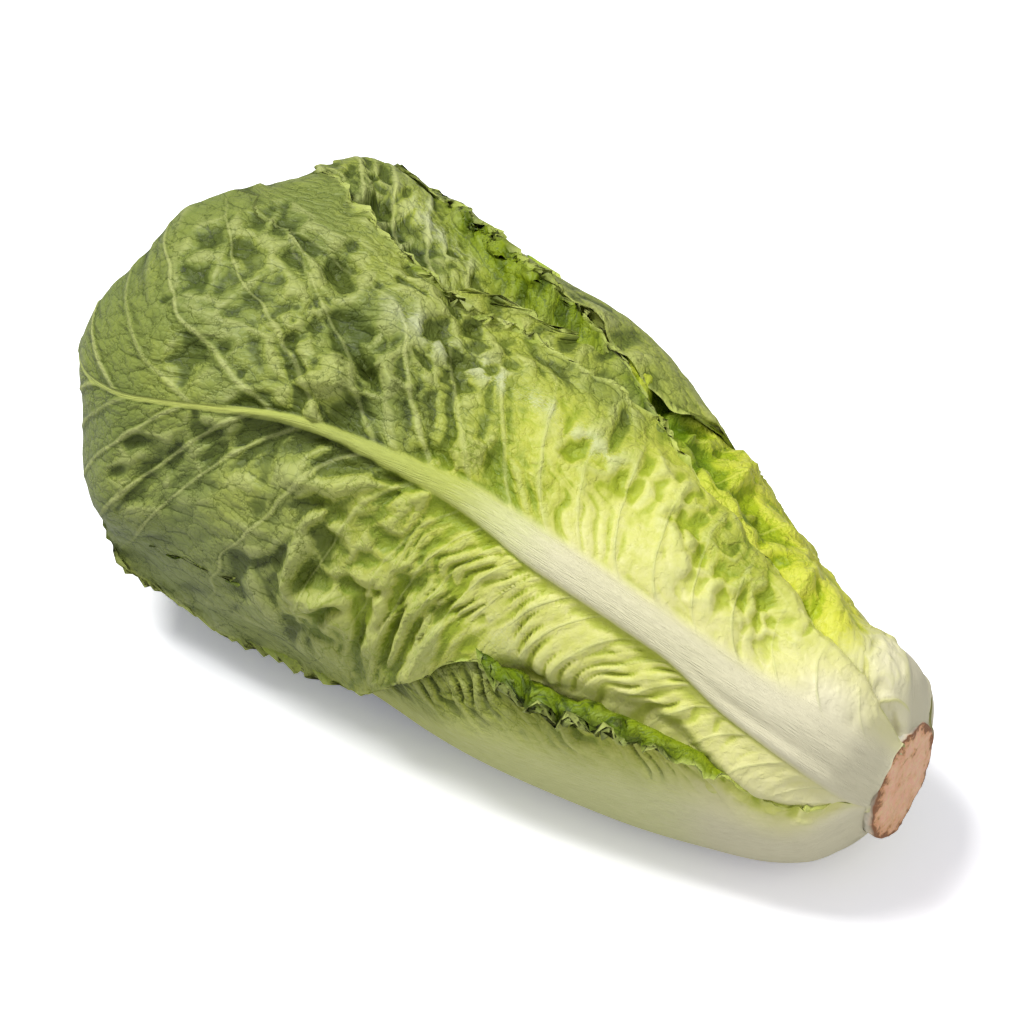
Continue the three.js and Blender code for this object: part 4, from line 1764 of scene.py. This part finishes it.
SIDE = LeafForm(
    name="leaf_side", slot="outer_leaf", start=18, end=226, crown=52, rows=200, columns=116,
    mid=((18, 66), (60, 50), (226, 34)),
    low=((18, 48), (60, 12), (85, -4), (100, -15), (106, -19), (118, -23), (122, -27),
         (130, -29), (135, -31.5), (141, -34), (147, -29), (155, -21.5), (164, -21), (173, -20),
         (180, -14), (190, -4), (226, 10)),
    high=((18, 72), (100, 74), (226, 74)),
    rib=6, gap=1.3, lift_reach=1, flare_low=((100, 0), (110, 1), (150, 1), (180, 0)),
    relief=Relief(pocket_base=0.4, crumple_base=0.5, ruffle=1.0, ruffle_length=9, jag=0.7),
    green=((5, 0.1), (60, 0.6), (90, 0.86), (122, 0.84), (145, 0.64), (226, 0.6)),
    lush=(Spot(120, -1, 1.0, 26, 0.07),),
    seed=13,
)
UNDER = LeafForm(
    name="leaf_under", slot="outer_leaf", start=17, end=238, crown=60, rows=90, columns=60,
    mid=((17, 202), (238, 210)),
    low=((17, 168), (80, 150), (238, 140)),
    high=((17, 236), (80, 258), (238, 276)),
    rib=7, seed=15,
)


@dataclass(frozen=True)
class Ring:
    """A ring of wrapped leaves, each turned on from the last by the golden angle.

    Leaf by leaf the start moves on by ``step`` and the end back by ``fall``.
    Each leaf is ``foot`` degrees wide either way at its start and ``spread``
    degrees further on, ``inset`` millimetres in, and closes in at the tip.
    """

    name: str
    count: int
    start: float
    step: float
    end: float
    fall: float
    first: float
    rib: float
    foot: float
    spread: float
    green: float
    rows: int
    columns: int
    inset: float
    close: float

    def form(self, i: int) -> LeafForm:
        """The form of one of the ring's leaves, 0 for the outermost.

        Args:
            i: The leaf's place in the ring.

        Returns:
            The leaf's form.
        """
        start, end = self.start + i * self.step, self.end - i * self.fall
        mid = float(wrap(self.first + i * GOLDEN))
        wide = start * 0.55 + end * 0.45
        low, high = (
            ((start, mid + way * self.foot), (wide, mid + way * self.spread),
             (end, mid + way * self.spread))
            for way in (-1, 1)
        )
        green, near_end = self.green, end - 60
        return LeafForm(
            name=f"{self.name}_{i + 1}", slot="inner_leaf", start=start, end=end, crown=40,
            mid=((start, mid), (end, mid)), low=low, high=high,
            rows=self.rows, columns=self.columns, rib=self.rib, gap=1.4,
            inset=((70, 0), (150, self.inset), (near_end, self.inset),
                   (end, self.inset + self.close)),
            relief=Relief(pocket_base=1.0, crumple_base=0.8, ruffle=2.0, jag=1.4),
            green=((5, 0.0), (120, 0.3 * green), (near_end, 0.8 * green), (end, green)),
            seed=20 + 7 * i + len(self.name),
        )


RINGS = (
    Ring("inner_leaf", 5, start=27, step=2.5, end=262, fall=4, first=112, rib=5, foot=30,
         spread=58, green=0.85, rows=92, columns=48, inset=0.8, close=4),
    Ring("middle_leaf", 5, start=58, step=3, end=250, fall=4, first=76, rib=3, foot=34,
         spread=64, green=0.65, rows=90, columns=44, inset=3.5, close=5),
    Ring("heart_leaf", 3, start=84, step=5, end=236, fall=6, first=20, rib=2, foot=38,
         spread=66, green=0.5, rows=80, columns=40, inset=11, close=9),
)


@dataclass(frozen=True)
class LettuceHead:
    """The whole head: stem and leaves, each standing for its solid in the frame."""

    form: HeadForm = field(default_factory=HeadForm)

    def build(self) -> None:
        """Builds every piece from the outside in."""
        finishes = {finish.name: finish.material() for finish in (OUTER_LEAF, INNER_LEAF)}
        stem = Stem().build(self.form)
        stem.data.materials.append(StemFinish().material())
        self.fit(stem, "stem", "cut_stem")
        layers = LayerMap()
        inner = [ring.form(i) for ring in RINGS for i in range(ring.count)]
        for form in (FRONT, BOTTOM, BACK, SIDE, TOP, CRINKLED, UNDER, *inner):
            piece = Leaf(form, self.form).build(layers)
            piece.data.materials.append(finishes[form.slot])
            slot = "heart_leaf" if form.name.startswith(("middle", "heart")) else form.slot
            self.fit(piece, form.name, slot)

    @staticmethod
    def fit(piece: bpy.types.Object, node: str, slot: str) -> None:
        """Puts a piece on the head's one body in place of its plain solid.

        Args:
            piece: The finished piece.
            node: The solid that it stands for.
            slot: Its material slot.
        """
        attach(piece, "root")
        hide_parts(node)
        LOG.info("%s: %d faces, %s", node, len(piece.data.polygons), slot)


def main() -> None:
    """Builds the head and the studio."""
    logging.basicConfig(level=logging.INFO, format="%(message)s")
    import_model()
    LettuceHead().build()
    Studio().build()


if __name__ == "__main__":
    main()
